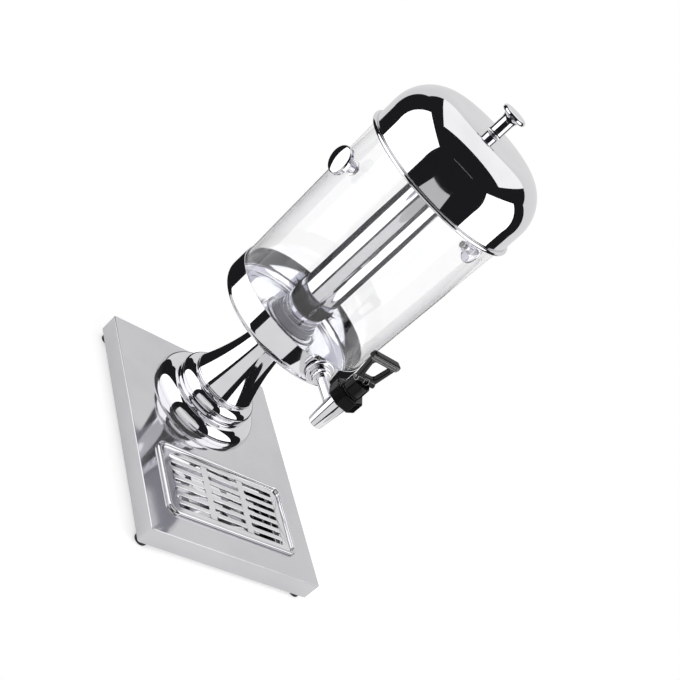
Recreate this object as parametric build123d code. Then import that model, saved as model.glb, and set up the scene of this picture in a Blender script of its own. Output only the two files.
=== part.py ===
from build123d import *
import os
from math import asin, cos, degrees, radians, sin, sqrt

# Juice dispenser, in millimetres: +Z up, the tap towards -Y, +X to the right seen from the front.
# The origin is on the table, under the middle of the whole dispenser.

# Base pan: one folded sheet, open below, with a lip folded inwards
base_width = 260
base_depth = 336
base_height = 25
base_sheet = 1.2
base_corner = 3
base_fold = 1
base_lip = 28

# Rubber feet under the lip
foot_height = 8
foot_radius = 9
foot_taper = 1
foot_inset = 11.5
foot_screw_radius = 2
foot_screw_head = 2
foot_screw_head_radius = 4
foot_screw_recess = 1.5
foot_screw_grip = 5

# Pedestal: two turned bells, a ring and a waisted stem, all hollow
column_back = 80
bell_sheet = 1.2
bell_seat = 8
lower_bell_radius = 74.5
lower_bell_section = 18.5
lower_bell_belt = 1.5
upper_bell_radius = 55.5
upper_bell_section = 14.5
upper_bell_belt = 6.5
ring_height = 3
ring_lip = 0.8
stem_height = 108
stem_neck_radius = 23.6
stem_flare = 300

# Tie rod that clamps the cup, stem and bells to the base
backing_size = 130
backing_thickness = 3
rod_radius = 5
rod_play = 0.3
rod_spare = 1.5
washer_radius = 14
washer_thickness = 1.5
lower_nut_height = 8
upper_nut_height = 5
nut_flat_radius = 8.5

# Cup that carries the tank
cup_radius = 99.2
cup_height = 40
cup_corner = 14
cup_sheet = 1.2
cup_notch_play = 0.8

# Drip tray, hung by its bead in the base, and its loose grille
tray_margin = 33
tray_width = 201
tray_depth = 107
tray_corner = 14
tray_sheet = 1
tray_sink = 17
tray_play = 0.5
bead_width = 5
bead_height = 4.5
bead_round = 2.2
ledge_width = 4
ledge_drop = 1
grille_thickness = 1.4
grille_play = 0.5
slot_columns = 3
slot_rows = 7
slot_length = 49
slot_width = 6.2
slot_column_pitch = 58
slot_row_pitch = 12.2

# Clear tank
tank_height = 276
tank_wall = 3
tank_taper = 0.024
tank_play = 0.6
tank_corner = 16
tank_plateau = 38
tank_plateau_slope = 4
tank_plateau_rise = 9.8
tank_plateau_floor = 4
tank_rim_round = 1

# Ice tube in a dark foot that stands in a moulded socket
tube_radius = 26.5
tube_height = 258
tube_sheet = 1
tube_foot_wall = 2.5
tube_foot_floor = 2
tube_foot_height = 11
socket_wall = 2.5
socket_height = 7
seat_play = 0.1

# Side knobs of the tank
knob_drop = 56
knob_head_radius = 17.5
knob_head_thickness = 11
knob_neck_radius = 6.5
knob_neck_flare = 0.4
knob_neck_length = 14
knob_round = 4
knob_seal_radius = 9
knob_seal_thickness = 1.5
knob_screw_radius = 2.5
knob_screw_head_radius = 4.5
knob_screw_head = 2.5
knob_screw_depth = 9
knob_screw_gap = 0.3

# Tap body: shank, chamber and spout
tap_reach = 59.8
tap_height = 29
shank_radius = 7
shank_bore = 4.5
shank_end = 15
shoulder_radius = 12
shoulder_length = 9
chamber_radius = 12.5
chamber_bore = 9
chamber_above = 22
valve_seat_drop = 4
spout_drop = 28
spout_tip_radius = 9
outlet_bore = 6
flange_radius = 18
flange_thickness = 4
flange_round = 2
flange_gap = 0.8
boss_radius = 9.2
boss_stand = 1.5
gasket_thickness = 2
lock_nut_height = 6
lock_nut_flat_radius = 10

# Bonnet nut and collar above the tap body
bonnet_radius = 20.5
bonnet_sides = 8
bonnet_height = 16
bonnet_skirt = 6
bonnet_roof = 4
bonnet_chamfer = 1.5
collar_radius = 13
collar_height = 17
collar_chamfer = 1

# Valve stem, plug and return spring
stem_rod_radius = 3
stem_rod_play = 0.05
stem_flange_radius = 6
stem_flange_thickness = 2
stem_tip_radius = 2
stem_tip_length = 3
stem_top = 2.6
plug_radius = 8
plug_thickness = 4
spring_radius = 5.4
spring_wire = 0.6
spring_turns = 6
spring_play = 0.05

# Pull handle: a loop with a grooved crossbar, pinned over an eccentric cam
handle_height = 38.5
handle_waist = 28
handle_shoulder = 40
handle_thickness = 7
handle_round = 1.2
crossbar_width = 43
crossbar_height = 9.5
crossbar_thickness = 9
crossbar_corner = 4
groove_radius = 0.8
groove_count = 2
groove_pitch = 3.4
loop_low_width = 17.6
loop_high_width = 28.4
loop_base = 7
loop_corner = 4.2
cam_radius = 3.5
cam_offset = 2.4
cam_play = 0.3
fork_play = 0.4
pin_radius = 1.2
pin_length = 22

# Domed lid with a rolled rim, a seat ring inside and a knob on top
lid_sheet = 1
lid_play = 1.2
lid_overlap = 11
lid_height = 84
lid_corner = 53
lid_crown = 900
lid_bead_radius = 2.4
seat_ring_width = 6
lid_knob_foot_radius = 15
lid_knob_foot_height = 4
lid_knob_neck_radius = 8.6
lid_knob_neck_length = 15
lid_knob_head_radius = 16.5
lid_knob_head_thickness = 6
lid_knob_flare = 8
lid_knob_washer_radius = 11
lid_screw_radius = 2.5
lid_screw_head_radius = 5
lid_screw_head = 3
lid_screw_depth = 14

# Heights that follow from the sizes
base_top = foot_height + base_height
backing_low = base_top - base_sheet - backing_thickness
lower_bell_top = base_top + lower_bell_belt + lower_bell_section
upper_bell_top = lower_bell_top + upper_bell_belt + upper_bell_section
stem_low = upper_bell_top + ring_height
cup_low = stem_low + stem_height
cup_floor = cup_low + cup_sheet
cup_rim = cup_low + cup_height
tank_rim = cup_floor + tank_height
tank_floor = cup_floor + tank_wall
plateau_low = cup_floor + tank_plateau_rise
plateau_top = plateau_low + tank_plateau_floor
tube_low = plateau_top + tube_foot_floor
knob_z = tank_rim - knob_drop
tap_z = cup_low + tap_height
ledge_z = base_top - ledge_drop
chamber_top = tap_z + chamber_above
spout_low = tap_z - spout_drop
valve_seat_z = tap_z - valve_seat_drop
plug_top = valve_seat_z + plug_thickness
bonnet_low = chamber_top - bonnet_skirt
bonnet_top = bonnet_low + bonnet_height
collar_top = bonnet_top + collar_height
pin_z = collar_top + cam_radius + cam_play
lid_low = tank_rim - lid_overlap
lid_top = lid_low + lid_height


def tank_radius(height):
    """Outer radius of the tapered tank wall at a height."""
    return cup_radius - cup_sheet - tank_play + tank_taper * (height - cup_rim)


# Places along Y that follow: the lid reaches past the back of the base
lid_radius = tank_radius(tank_rim) + lid_play + lid_sheet
lid_reach = lid_radius + 2 * lid_bead_radius - lid_sheet / 2
base_y = (base_depth / 2 - max(base_depth / 2, column_back + lid_reach)) / 2
column_y = base_y + column_back
tap_y = column_y - cup_radius - tap_reach
tray_y = base_y - base_depth / 2 + tray_margin + tray_depth / 2
STANDING = (Align.CENTER, Align.CENTER, Align.MIN)
NUT_SIDES = 6


def upright(radius, low, high, x=0.0, y=0.0):
    """A round bar along Z."""
    return Pos(x, y, low) * Cylinder(radius, high - low, align=STANDING)


def lengthways(radius, low, high, z=0.0):
    """A round bar along Y."""
    return Pos(0, low, z) * Rot(-90, 0, 0) * Cylinder(radius, high - low, align=STANDING)


def crossways(radius, low, high, y=0.0, z=0.0):
    """A round bar along X."""
    return Pos(low, y, z) * Rot(0, 90, 0) * Cylinder(radius, high - low, align=STANDING)


def slab(width, depth, low, high, corner, y=0.0):
    """A plate with rounded upright corners."""
    return Pos(0, y, low) * extrude(RectangleRounded(width, depth, corner), high - low)


def polar(centre, radius, degrees):
    """A point on an arc of the profile."""
    return (centre[0] + radius * cos(radians(degrees)), centre[1] + radius * sin(radians(degrees)))


def outline(start, *steps):
    """A closed face: each step is the next point, or the (middle, end) of an arc."""
    edges = []
    here = start
    for step in steps:
        if isinstance(step[0], tuple):
            edges.append(ThreePointArc(here, step[0], step[1]))
            here = step[1]
        else:
            edges.append(Line(here, step))
            here = step
    edges.append(Line(here, start))
    return make_face(edges)


def turned(face, y=column_y):
    """The solid that a (radius, height) face makes about an upright axis."""
    return Pos(0, y, 0) * revolve(Plane.XZ * face, Axis.Z)


def on_column(radius, low, high):
    """A round bar on the column's axis."""
    return upright(radius, low, high, y=column_y)


def column_ring(outer, bore, low, high):
    """A flat ring on the column's axis."""
    return on_column(outer, low, high) - on_column(bore, low, high)


def hexagon(flat_radius, low, high):
    """A six-sided bar on the column's axis."""
    section = RegularPolygon(flat_radius, NUT_SIDES, major_radius=False)
    return Pos(0, column_y, low) * extrude(section, high - low)


def foot_places():
    """The name and middle of each foot."""
    x = base_width / 2 - foot_inset
    front = base_y - base_depth / 2 + foot_inset
    back = base_y + base_depth / 2 - foot_inset
    return {
        "foot_front_left": (-x, front),
        "foot_front_right": (x, front),
        "foot_back_left": (-x, back),
        "foot_back_right": (x, back),
    }


def base_pan():
    """The folded pan with the tray's cut-out and the holes for the rod and the foot screws."""
    pan = slab(base_width, base_depth, foot_height, base_top, base_corner, base_y)
    pan = fillet(pan.faces().sort_by(Axis.Z)[-1].edges(), base_fold)
    inner_width = base_width - 2 * base_sheet
    inner_depth = base_depth - 2 * base_sheet
    inner_corner = base_corner - base_sheet
    lip_top = foot_height + base_sheet
    pan -= slab(inner_width, inner_depth, lip_top, base_top - base_sheet, inner_corner, base_y)
    open_width = base_width - 2 * base_lip
    open_depth = base_depth - 2 * base_lip
    pan -= slab(open_width, open_depth, foot_height, lip_top, inner_corner, base_y)
    cut_width = tray_width - 2 * bead_width + 2 * tray_play
    cut_depth = tray_depth - 2 * bead_width + 2 * tray_play
    pan -= slab(cut_width, cut_depth, foot_height, base_top, tray_corner - bead_width, tray_y)
    pan -= on_column(rod_radius + rod_play, foot_height, base_top)
    for x, y in foot_places().values():
        pan -= upright(foot_screw_radius, foot_height, lip_top, x, y)
    return pan


def foot(x, y):
    """A tapered rubber foot with a sunk screw hole."""
    body = Pos(x, y, 0) * Cone(foot_radius - foot_taper, foot_radius, foot_height, align=STANDING)
    body -= upright(foot_screw_radius, 0, foot_height, x, y)
    return body - upright(foot_screw_head_radius, 0, foot_screw_recess + foot_screw_head, x, y)


def foot_screws():
    """The four pan-head screws of the feet."""
    head_top = foot_screw_recess + foot_screw_head
    tip = foot_height + base_sheet + foot_screw_grip
    screws = []
    for x, y in foot_places().values():
        head = upright(foot_screw_head_radius, foot_screw_recess, head_top, x, y)
        screws.append(head + upright(foot_screw_radius, head_top, tip, x, y))
    return screws


def bell(radius, section, belt, low):
    """A hollow turned bell whose side is one arc, with a flat seat at its top."""
    centre = (radius - section, low + belt)
    high = low + belt + section
    inner = section - bell_sheet
    outer_foot = (centre[0] + sqrt(section**2 - belt**2), low)
    inner_foot = (centre[0] + sqrt(inner**2 - belt**2), low)
    bore = centre[0] - bell_seat
    face = outline(
        outer_foot,
        (polar(centre, section, 45), (centre[0], high)),
        (bore, high),
        (bore, high - bell_sheet),
        (centre[0], high - bell_sheet),
        (polar(centre, inner, 45), inner_foot),
    )
    return turned(face)


def upper_bell():
    """The smaller bell, with a flat foot that sits on the lower bell's seat."""
    shell = bell(upper_bell_radius, upper_bell_section, upper_bell_belt, lower_bell_top)
    foot_outer = upper_bell_radius - upper_bell_section + sqrt(upper_bell_section**2 - upper_bell_belt**2)
    foot_bore = lower_bell_radius - lower_bell_section - bell_seat
    return shell + column_ring(foot_outer, foot_bore, lower_bell_top, lower_bell_top + bell_sheet)


def stem_radius(height):
    """Outer radius of the waisted stem at a height."""
    return stem_neck_radius + stem_flare - sqrt(stem_flare**2 - (cup_low - height) ** 2)


def stem_ring():
    """The half-round ring between the upper bell and the stem."""
    outer = stem_radius(stem_low) + ring_lip
    bore = upper_bell_radius - upper_bell_section - bell_seat
    middle = (outer, upper_bell_top + ring_height / 2)
    flat = outer - ring_height / 2
    half_round = (middle, (flat, stem_low))
    return turned(outline((bore, upper_bell_top), (flat, upper_bell_top), half_round, (bore, stem_low)))


def stem():
    """The hollow stem: one concave arc, closed by a flat top under the cup."""
    middle_z = (stem_low + cup_low) / 2
    foot_bore = upper_bell_radius - upper_bell_section - bell_seat
    inner_neck = stem_neck_radius - bell_sheet
    face = outline(
        (foot_bore, stem_low),
        (stem_radius(stem_low), stem_low),
        ((stem_radius(middle_z), middle_z), (stem_neck_radius, cup_low)),
        (rod_radius + rod_play, cup_low),
        (rod_radius + rod_play, cup_low - bell_sheet),
        (inner_neck, cup_low - bell_sheet),
        (
            (stem_radius(middle_z) - bell_sheet, middle_z),
            (stem_radius(stem_low + bell_sheet) - bell_sheet, stem_low + bell_sheet),
        ),
        (foot_bore, stem_low + bell_sheet),
    )
    return turned(face)


def cup():
    """The polished cup: flat floor, rounded corner and a plain wall with a notch for the tap."""
    centre = (cup_radius - cup_corner, cup_low + cup_corner)
    inner_corner = cup_corner - cup_sheet
    bore = rod_radius + rod_play
    face = outline(
        (bore, cup_low),
        (centre[0], cup_low),
        (polar(centre, cup_corner, -45), (cup_radius, centre[1])),
        (cup_radius, cup_rim),
        (cup_radius - cup_sheet, cup_rim),
        (cup_radius - cup_sheet, centre[1]),
        (polar(centre, inner_corner, -45), (centre[0], cup_floor)),
        (bore, cup_floor),
    )
    notch_radius = boss_radius + cup_notch_play
    front = column_y - cup_radius
    notch = lengthways(notch_radius, front - cup_corner, front + cup_corner, z=tap_z)
    notch += Pos(0, front, (tap_z + cup_rim) / 2) * Box(2 * notch_radius, 2 * cup_corner, cup_rim - tap_z)
    return turned(face) - notch


def in_tray(inset, low, high):
    """A rounded plate on the tray's middle, set in from the bead's outer edge."""
    return slab(tray_width - 2 * inset, tray_depth - 2 * inset, low, high, tray_corner - inset, tray_y)


def drip_tray():
    """The tray: a raised bead on the base, a ledge for the grille and a shallow pan."""
    bead_top = base_top + bead_height
    pan_low = base_top - tray_sink
    rim_inset = bead_width + tray_sheet
    pan_inset = bead_width + ledge_width
    bead = in_tray(0, base_top, bead_top) - in_tray(bead_width, base_top, bead_top)
    bead = fillet(bead.faces().sort_by(Axis.Z)[-1].edges(), bead_round)
    shell = in_tray(bead_width, ledge_z - tray_sheet, base_top + bead_height / 2)
    shell += in_tray(pan_inset - tray_sheet, pan_low, ledge_z)
    shell -= in_tray(rim_inset, ledge_z, bead_top)
    shell -= in_tray(pan_inset, pan_low + tray_sheet, ledge_z)
    return bead + shell


def drip_grille():
    """The slotted plate that lies on the tray's ledge."""
    slots = GridLocations(slot_column_pitch, slot_row_pitch, slot_columns, slot_rows)
    slots *= SlotOverall(slot_length, slot_width)
    plate = in_tray(bead_width + tray_sheet + grille_play, ledge_z, ledge_z + grille_thickness)
    return plate - Pos(0, tray_y, ledge_z) * extrude(Sketch() + slots, grille_thickness)


def tank():
    """The clear tapered tank with a raised middle, a socket for the tube, a tap boss and knob holes."""
    centre = (tank_radius(cup_floor + tank_corner) - tank_corner, cup_floor + tank_corner)
    outer_wall = (centre[0] + tank_corner, centre[1])
    inner_corner = tank_corner - tank_wall
    socket_bore = tube_radius + tube_foot_wall + 2 * seat_play
    socket_top = plateau_top + socket_height
    plateau_edge = tank_plateau + tank_plateau_slope
    face = outline(
        (0, plateau_low),
        (tank_plateau - tank_wall, plateau_low),
        (plateau_edge - tank_wall, cup_floor),
        (centre[0], cup_floor),
        (polar(centre, tank_corner, -45), outer_wall),
        (tank_radius(tank_rim), tank_rim),
        (tank_radius(tank_rim) - tank_wall, tank_rim),
        (outer_wall[0] - tank_wall, centre[1]),
        (polar(centre, inner_corner, -45), (centre[0], tank_floor)),
        (plateau_edge, tank_floor),
        (tank_plateau, plateau_top),
        (socket_bore + socket_wall, plateau_top),
        (socket_bore + socket_wall, socket_top),
        (socket_bore, socket_top),
        (socket_bore, plateau_top),
        (0, plateau_top),
    )
    body = turned(face)
    body = fillet(body.edges().group_by(Axis.Z)[-1], tank_rim_round)
    front = column_y - tank_radius(tap_z)
    boss = lengthways(boss_radius, front - boss_stand, front + tank_wall + boss_stand, z=tap_z)
    body += boss
    body -= lengthways(shank_radius + seat_play, front - tank_wall, front + 2 * tank_wall, z=tap_z)
    reach = tank_radius(knob_z) + tank_wall
    body -= crossways(knob_screw_radius + seat_play, -reach, reach, column_y, knob_z)
    return body


def knob_root():
    """Distance from the column's axis to the flat foot of a side knob."""
    return tank_radius(knob_z) + knob_seal_thickness


def side_knob(side):
    """A mushroom knob that points away from the tank along X."""
    start = knob_root()
    neck_end = start + knob_neck_length
    head_end = neck_end + knob_head_thickness
    face = outline(
        (start, 0),
        (start, knob_neck_radius + knob_neck_flare),
        (neck_end, knob_neck_radius),
        (neck_end + knob_round / 2, knob_head_radius),
        (head_end - knob_round, knob_head_radius),
        (
            polar((head_end - knob_round, knob_head_radius - knob_round), knob_round, 45),
            (head_end, knob_head_radius - knob_round),
        ),
        (head_end, 0),
    )
    body = revolve(face, Axis.X)
    body -= crossways(knob_screw_radius, start, start + knob_screw_depth)
    turn = 0 if side > 0 else 180
    return Pos(0, column_y, knob_z) * Rot(0, 0, turn) * body


def side_knob_seals():
    """A soft washer between each knob and the tank, shaped to the wall."""
    low_radius = tank_radius(cup_rim)
    high_radius = tank_radius(tank_rim)
    wall = turned(outline((0, cup_rim), (low_radius, cup_rim), (high_radius, tank_rim), (0, tank_rim)))
    seals = []
    for side in (-1, 1):
        ends = sorted((side * (knob_root() - knob_seal_thickness - tank_wall), side * knob_root()))
        seal = crossways(knob_seal_radius, *ends, column_y, knob_z)
        seal -= crossways(knob_screw_radius + seat_play, *ends, column_y, knob_z)
        seals.append(seal - wall)
    return seals


def side_knob_screws():
    """The screws that hold the side knobs from inside the tank."""
    screws = []
    for side in (-1, 1):
        inner = tank_radius(knob_z) - tank_wall - knob_screw_gap
        ends = sorted((side * (inner - knob_screw_head), side * inner))
        screw = crossways(knob_screw_head_radius, *ends, column_y, knob_z)
        ends = sorted((side * inner, side * (knob_root() + knob_screw_depth)))
        screws.append(screw + crossways(knob_screw_radius, *ends, column_y, knob_z))
    return screws


def ice_tube():
    """The steel ice tube, closed below and open above."""
    bore = on_column(tube_radius - tube_sheet, tube_low + tube_sheet, tube_low + tube_height)
    return on_column(tube_radius, tube_low, tube_low + tube_height) - bore


def ice_tube_foot():
    """The dark cup that the ice tube stands in."""
    bore = tube_radius + seat_play
    high = plateau_top + tube_foot_height
    return on_column(bore + tube_foot_wall, plateau_top, high) - on_column(bore, tube_low, high)


def tap_seats():
    """The places along Y of the tap's stack: outer boss face, gasket, flange and shoulder."""
    boss_face = column_y - tank_radius(tap_z) - boss_stand
    flange_back = column_y - cup_radius - flange_gap
    shoulder_back = flange_back - flange_thickness
    return boss_face, flange_back, shoulder_back


def inner_boss():
    """The place along Y of the tap boss's face inside the tank."""
    return column_y - tank_radius(tap_z) + tank_wall + boss_stand


def tap_body():
    """Shank, shoulder, chamber and spout, with the water way bored through."""
    shoulder_back = tap_seats()[2]
    end = inner_boss() + shank_end
    body = lengthways(shank_radius, tap_y, end, z=tap_z)
    body += lengthways(shoulder_radius, shoulder_back - shoulder_length, shoulder_back, z=tap_z)
    body += upright(chamber_radius, bonnet_low, chamber_top, y=tap_y)
    spout = Cone(spout_tip_radius, chamber_radius, bonnet_low - spout_low, align=STANDING)
    body += Pos(0, tap_y, spout_low) * spout
    body -= upright(chamber_bore, valve_seat_z, chamber_top, y=tap_y)
    body -= upright(outlet_bore, spout_low, valve_seat_z, y=tap_y)
    return body - lengthways(shank_bore, tap_y, end, z=tap_z)


def tap_flange():
    """The round plate that covers the cup's notch."""
    flange_back, shoulder_back = tap_seats()[1:]
    plate = lengthways(flange_radius, shoulder_back, flange_back, z=tap_z)
    plate = fillet(plate.edges().sort_by(Axis.Y)[0], flange_round)
    return plate - lengthways(shank_radius + seat_play, shoulder_back, flange_back, z=tap_z)


def tap_ring(radius, low, high):
    """A ring on the tap's shank."""
    bore = shank_radius + seat_play
    return lengthways(radius, low, high, z=tap_z) - lengthways(bore, low, high, z=tap_z)


def tap_lock_nut():
    """The six-sided nut inside the tank."""
    low = inner_boss() + gasket_thickness
    section = RegularPolygon(lock_nut_flat_radius, NUT_SIDES, major_radius=False)
    nut = Pos(0, low, tap_z) * Rot(-90, 0, 0) * extrude(section, lock_nut_height)
    return nut - lengthways(shank_radius + seat_play, low, low + lock_nut_height, z=tap_z)


def bonnet_nut():
    """The eight-sided nut that closes the chamber and guides the stem."""
    nut = Pos(0, tap_y, bonnet_low) * extrude(RegularPolygon(bonnet_radius, bonnet_sides), bonnet_height)
    nut = chamfer(nut.faces().sort_by(Axis.Z)[-1].edges(), bonnet_chamfer)
    nut -= upright(chamber_radius + seat_play, bonnet_low, chamber_top + seat_play, y=tap_y)
    nut -= upright(chamber_bore, chamber_top, bonnet_top - bonnet_roof, y=tap_y)
    return nut - upright(stem_rod_radius + stem_rod_play, bonnet_low, bonnet_top, y=tap_y)


def handle_collar():
    """The round collar whose top the handle's cam bears on."""
    collar = upright(collar_radius, bonnet_top, collar_top, y=tap_y)
    collar = chamfer(collar.faces().sort_by(Axis.Z)[-1].edges(), collar_chamfer)
    return collar - upright(stem_rod_radius + stem_rod_play, bonnet_top, collar_top, y=tap_y)


def valve_stem():
    """The stem: a tip in the plug, a spring flange, a rod and the pin's eye."""
    flange_top = plug_top + stem_flange_thickness
    body = upright(stem_tip_radius, plug_top - stem_tip_length, plug_top, y=tap_y)
    body += upright(stem_flange_radius, plug_top, flange_top, y=tap_y)
    body += upright(stem_rod_radius, flange_top, pin_z + stem_top, y=tap_y)
    eye = pin_radius + stem_rod_play
    return body - crossways(eye, -stem_rod_radius, stem_rod_radius, tap_y, pin_z)


def valve_plug():
    """The soft plug that closes the outlet."""
    plug = upright(plug_radius, valve_seat_z, plug_top, y=tap_y)
    return plug - upright(stem_tip_radius, plug_top - stem_tip_length, plug_top, y=tap_y)


def return_spring():
    """The coil between the stem's flange and the bonnet's roof, in quarter-turn arcs."""
    low = plug_top + stem_flange_thickness + spring_wire + spring_play
    high = bonnet_top - bonnet_roof - spring_wire - spring_play
    quarters = 4 * spring_turns

    def place(step):
        x, y = polar((0, tap_y), spring_radius, 90 * step)
        return (x, y, low + (high - low) * step / quarters)

    arcs = [ThreePointArc(place(step), place(step + 0.5), place(step + 1)) for step in range(quarters)]
    path = Wire(arcs)
    section = Plane(origin=path @ 0, z_dir=path % 0) * Circle(spring_wire)
    return sweep(section, path=path)


def handle_loop():
    """The loop's flat outline in X and Z, narrow at its foot."""
    bar_z = pin_z + handle_height - crossbar_height / 2
    bar_low = pin_z + handle_height - crossbar_height
    hole_low = pin_z + loop_base
    waist = handle_waist / 2
    shoulder = handle_shoulder / 2
    low = loop_low_width / 2
    high = loop_high_width / 2
    sides = Polyline((-waist, pin_z), (waist, pin_z), (shoulder, bar_z), (-shoulder, bar_z), close=True)
    hole = Polyline((-low, hole_low), (low, hole_low), (high, bar_low), (-high, bar_low), close=True)
    return make_face(sides) - fillet(make_face(hole).vertices(), loop_corner)


def rounded_plate(face, thickness):
    """An upright plate on the handle's plane, with its front and back edges rounded."""
    plate = extrude(Plane.XZ.offset(-tap_y) * face, thickness / 2, both=True)
    ends = plate.faces().sort_by(Axis.Y)
    return fillet(ends[0].edges() + ends[-1].edges(), handle_round)


def tap_handle():
    """The pull handle: loop, grooved crossbar, cam foot and a gap for the stem's eye."""
    bar_z = pin_z + handle_height - crossbar_height / 2
    bar_face = RectangleRounded(crossbar_width, crossbar_height, crossbar_corner)
    bar = rounded_plate(Pos(0, bar_z) * bar_face, crossbar_thickness)
    for face in (tap_y - crossbar_thickness / 2, tap_y + crossbar_thickness / 2):
        for step in range(groove_count):
            z = bar_z + groove_pitch * (step - (groove_count - 1) / 2)
            bar -= crossways(groove_radius, -crossbar_width / 2, crossbar_width / 2, face, z)
    waist = handle_waist / 2
    body = rounded_plate(handle_loop(), handle_thickness) + bar
    body += crossways(cam_radius, -waist, waist, tap_y, pin_z)
    body += crossways(cam_radius, -waist, waist, tap_y - cam_offset, pin_z)
    fork_low = pin_z - 2 * cam_radius
    fork_high = pin_z + sqrt(stem_rod_radius**2 + stem_top**2) + fork_play
    fork = Box(2 * (stem_rod_radius + fork_play), 4 * handle_thickness, fork_high - fork_low)
    body -= Pos(0, tap_y, (fork_low + fork_high) / 2) * fork
    return body - crossways(pin_radius, -waist, waist, tap_y, pin_z)


def handle_pin():
    """The pin that joins the handle to the stem's eye."""
    return crossways(pin_radius, -pin_length / 2, pin_length / 2, tap_y, pin_z)


def crown_point(depth, radius):
    """A point of the lid's crown, at a depth below its outer skin."""
    return (radius, lid_top - lid_crown + sqrt((lid_crown - depth) ** 2 - radius**2))


def crown_arc(depth, start, end):
    """The middle and end of a crown arc between two radii."""
    return (crown_point(depth, (start + end) / 2), crown_point(depth, end))


def lid_dome():
    """The dome: plain wall, rounded shoulder and shallow crown, with a rolled rim and a screw hole."""
    outer = lid_radius
    run = outer - lid_corner
    reach = lid_crown - lid_corner
    shoulder = (run, lid_top - lid_crown + sqrt(reach**2 - run**2))
    tilt = 90 - degrees(asin(run / reach))
    hole = lid_screw_radius + seat_play
    join = polar(shoulder, lid_corner, tilt)
    inner_corner = lid_corner - lid_sheet
    inner_join = polar(shoulder, inner_corner, tilt)
    bead_centre = (outer + lid_bead_radius - lid_sheet / 2, lid_low + lid_bead_radius)
    face = outline(
        (outer, bead_centre[1]),
        (outer, shoulder[1]),
        (polar(shoulder, lid_corner, tilt / 2), join),
        crown_arc(0, join[0], hole),
        crown_point(lid_sheet, hole),
        crown_arc(lid_sheet, hole, inner_join[0]),
        (polar(shoulder, inner_corner, tilt / 2), (outer - lid_sheet, shoulder[1])),
        (outer - lid_sheet, bead_centre[1]),
    )
    bead = Pos(*bead_centre) * Circle(lid_bead_radius)
    return turned(face) + turned(bead)


def lid_seat_ring():
    """The ring inside the lid that rests on the tank's rim."""
    outer = lid_radius - lid_sheet
    return column_ring(outer, outer - seat_ring_width, tank_rim, tank_rim + lid_sheet)


def lid_knob():
    """The mushroom knob: flared foot shaped to the crown, plain neck and a flat flared head."""
    neck_low = lid_top + lid_knob_foot_height
    neck_high = neck_low + lid_knob_neck_length
    head_low = neck_high + lid_knob_flare
    head_high = head_low + lid_knob_head_thickness
    head_edge = lid_knob_head_radius - lid_knob_head_thickness / 2
    foot_middle = (lid_knob_neck_radius + lid_knob_foot_height / 2, lid_top + lid_knob_foot_height / 2)
    flare_middle = (lid_knob_neck_radius + lid_knob_flare / 4, neck_high + lid_knob_flare / 2)
    rim_middle = (lid_knob_head_radius, (head_low + head_high) / 2)
    face = outline(
        (0, lid_top),
        crown_arc(0, 0, lid_knob_foot_radius),
        (foot_middle, (lid_knob_neck_radius, neck_low)),
        (lid_knob_neck_radius, neck_high),
        (flare_middle, (head_edge, head_low)),
        (rim_middle, (head_edge, head_high)),
        (0, head_high),
    )
    return turned(face) - on_column(lid_screw_radius, lid_low, lid_top + lid_screw_depth)


def lid_knob_washer():
    """The dished washer under the crown."""
    hole = lid_screw_radius + seat_play
    face = outline(
        crown_point(lid_sheet, hole),
        crown_arc(lid_sheet, hole, lid_knob_washer_radius),
        crown_point(2 * lid_sheet, lid_knob_washer_radius),
        crown_arc(2 * lid_sheet, lid_knob_washer_radius, hole),
    )
    return turned(face)


def lid_knob_screw():
    """The screw that holds the lid knob from below."""
    seat = crown_point(2 * lid_sheet, lid_screw_head_radius)[1]
    head = on_column(lid_screw_head_radius, seat - lid_screw_head, seat)
    return head + on_column(lid_screw_radius, seat, lid_top + lid_screw_depth)


def rod_washer(low):
    """A plain washer on the tie rod."""
    return column_ring(washer_radius, rod_radius + rod_play, low, low + washer_thickness)


def rod_nut(low, height):
    """A six-sided nut on the tie rod."""
    return hexagon(nut_flat_radius, low, low + height) - on_column(rod_radius, low, low + height)


def backing_plate():
    """The stiffener under the pan."""
    high = backing_low + backing_thickness
    plate = slab(backing_size, backing_size, backing_low, high, base_corner, column_y)
    return plate - on_column(rod_radius + rod_play, backing_low, high)


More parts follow.
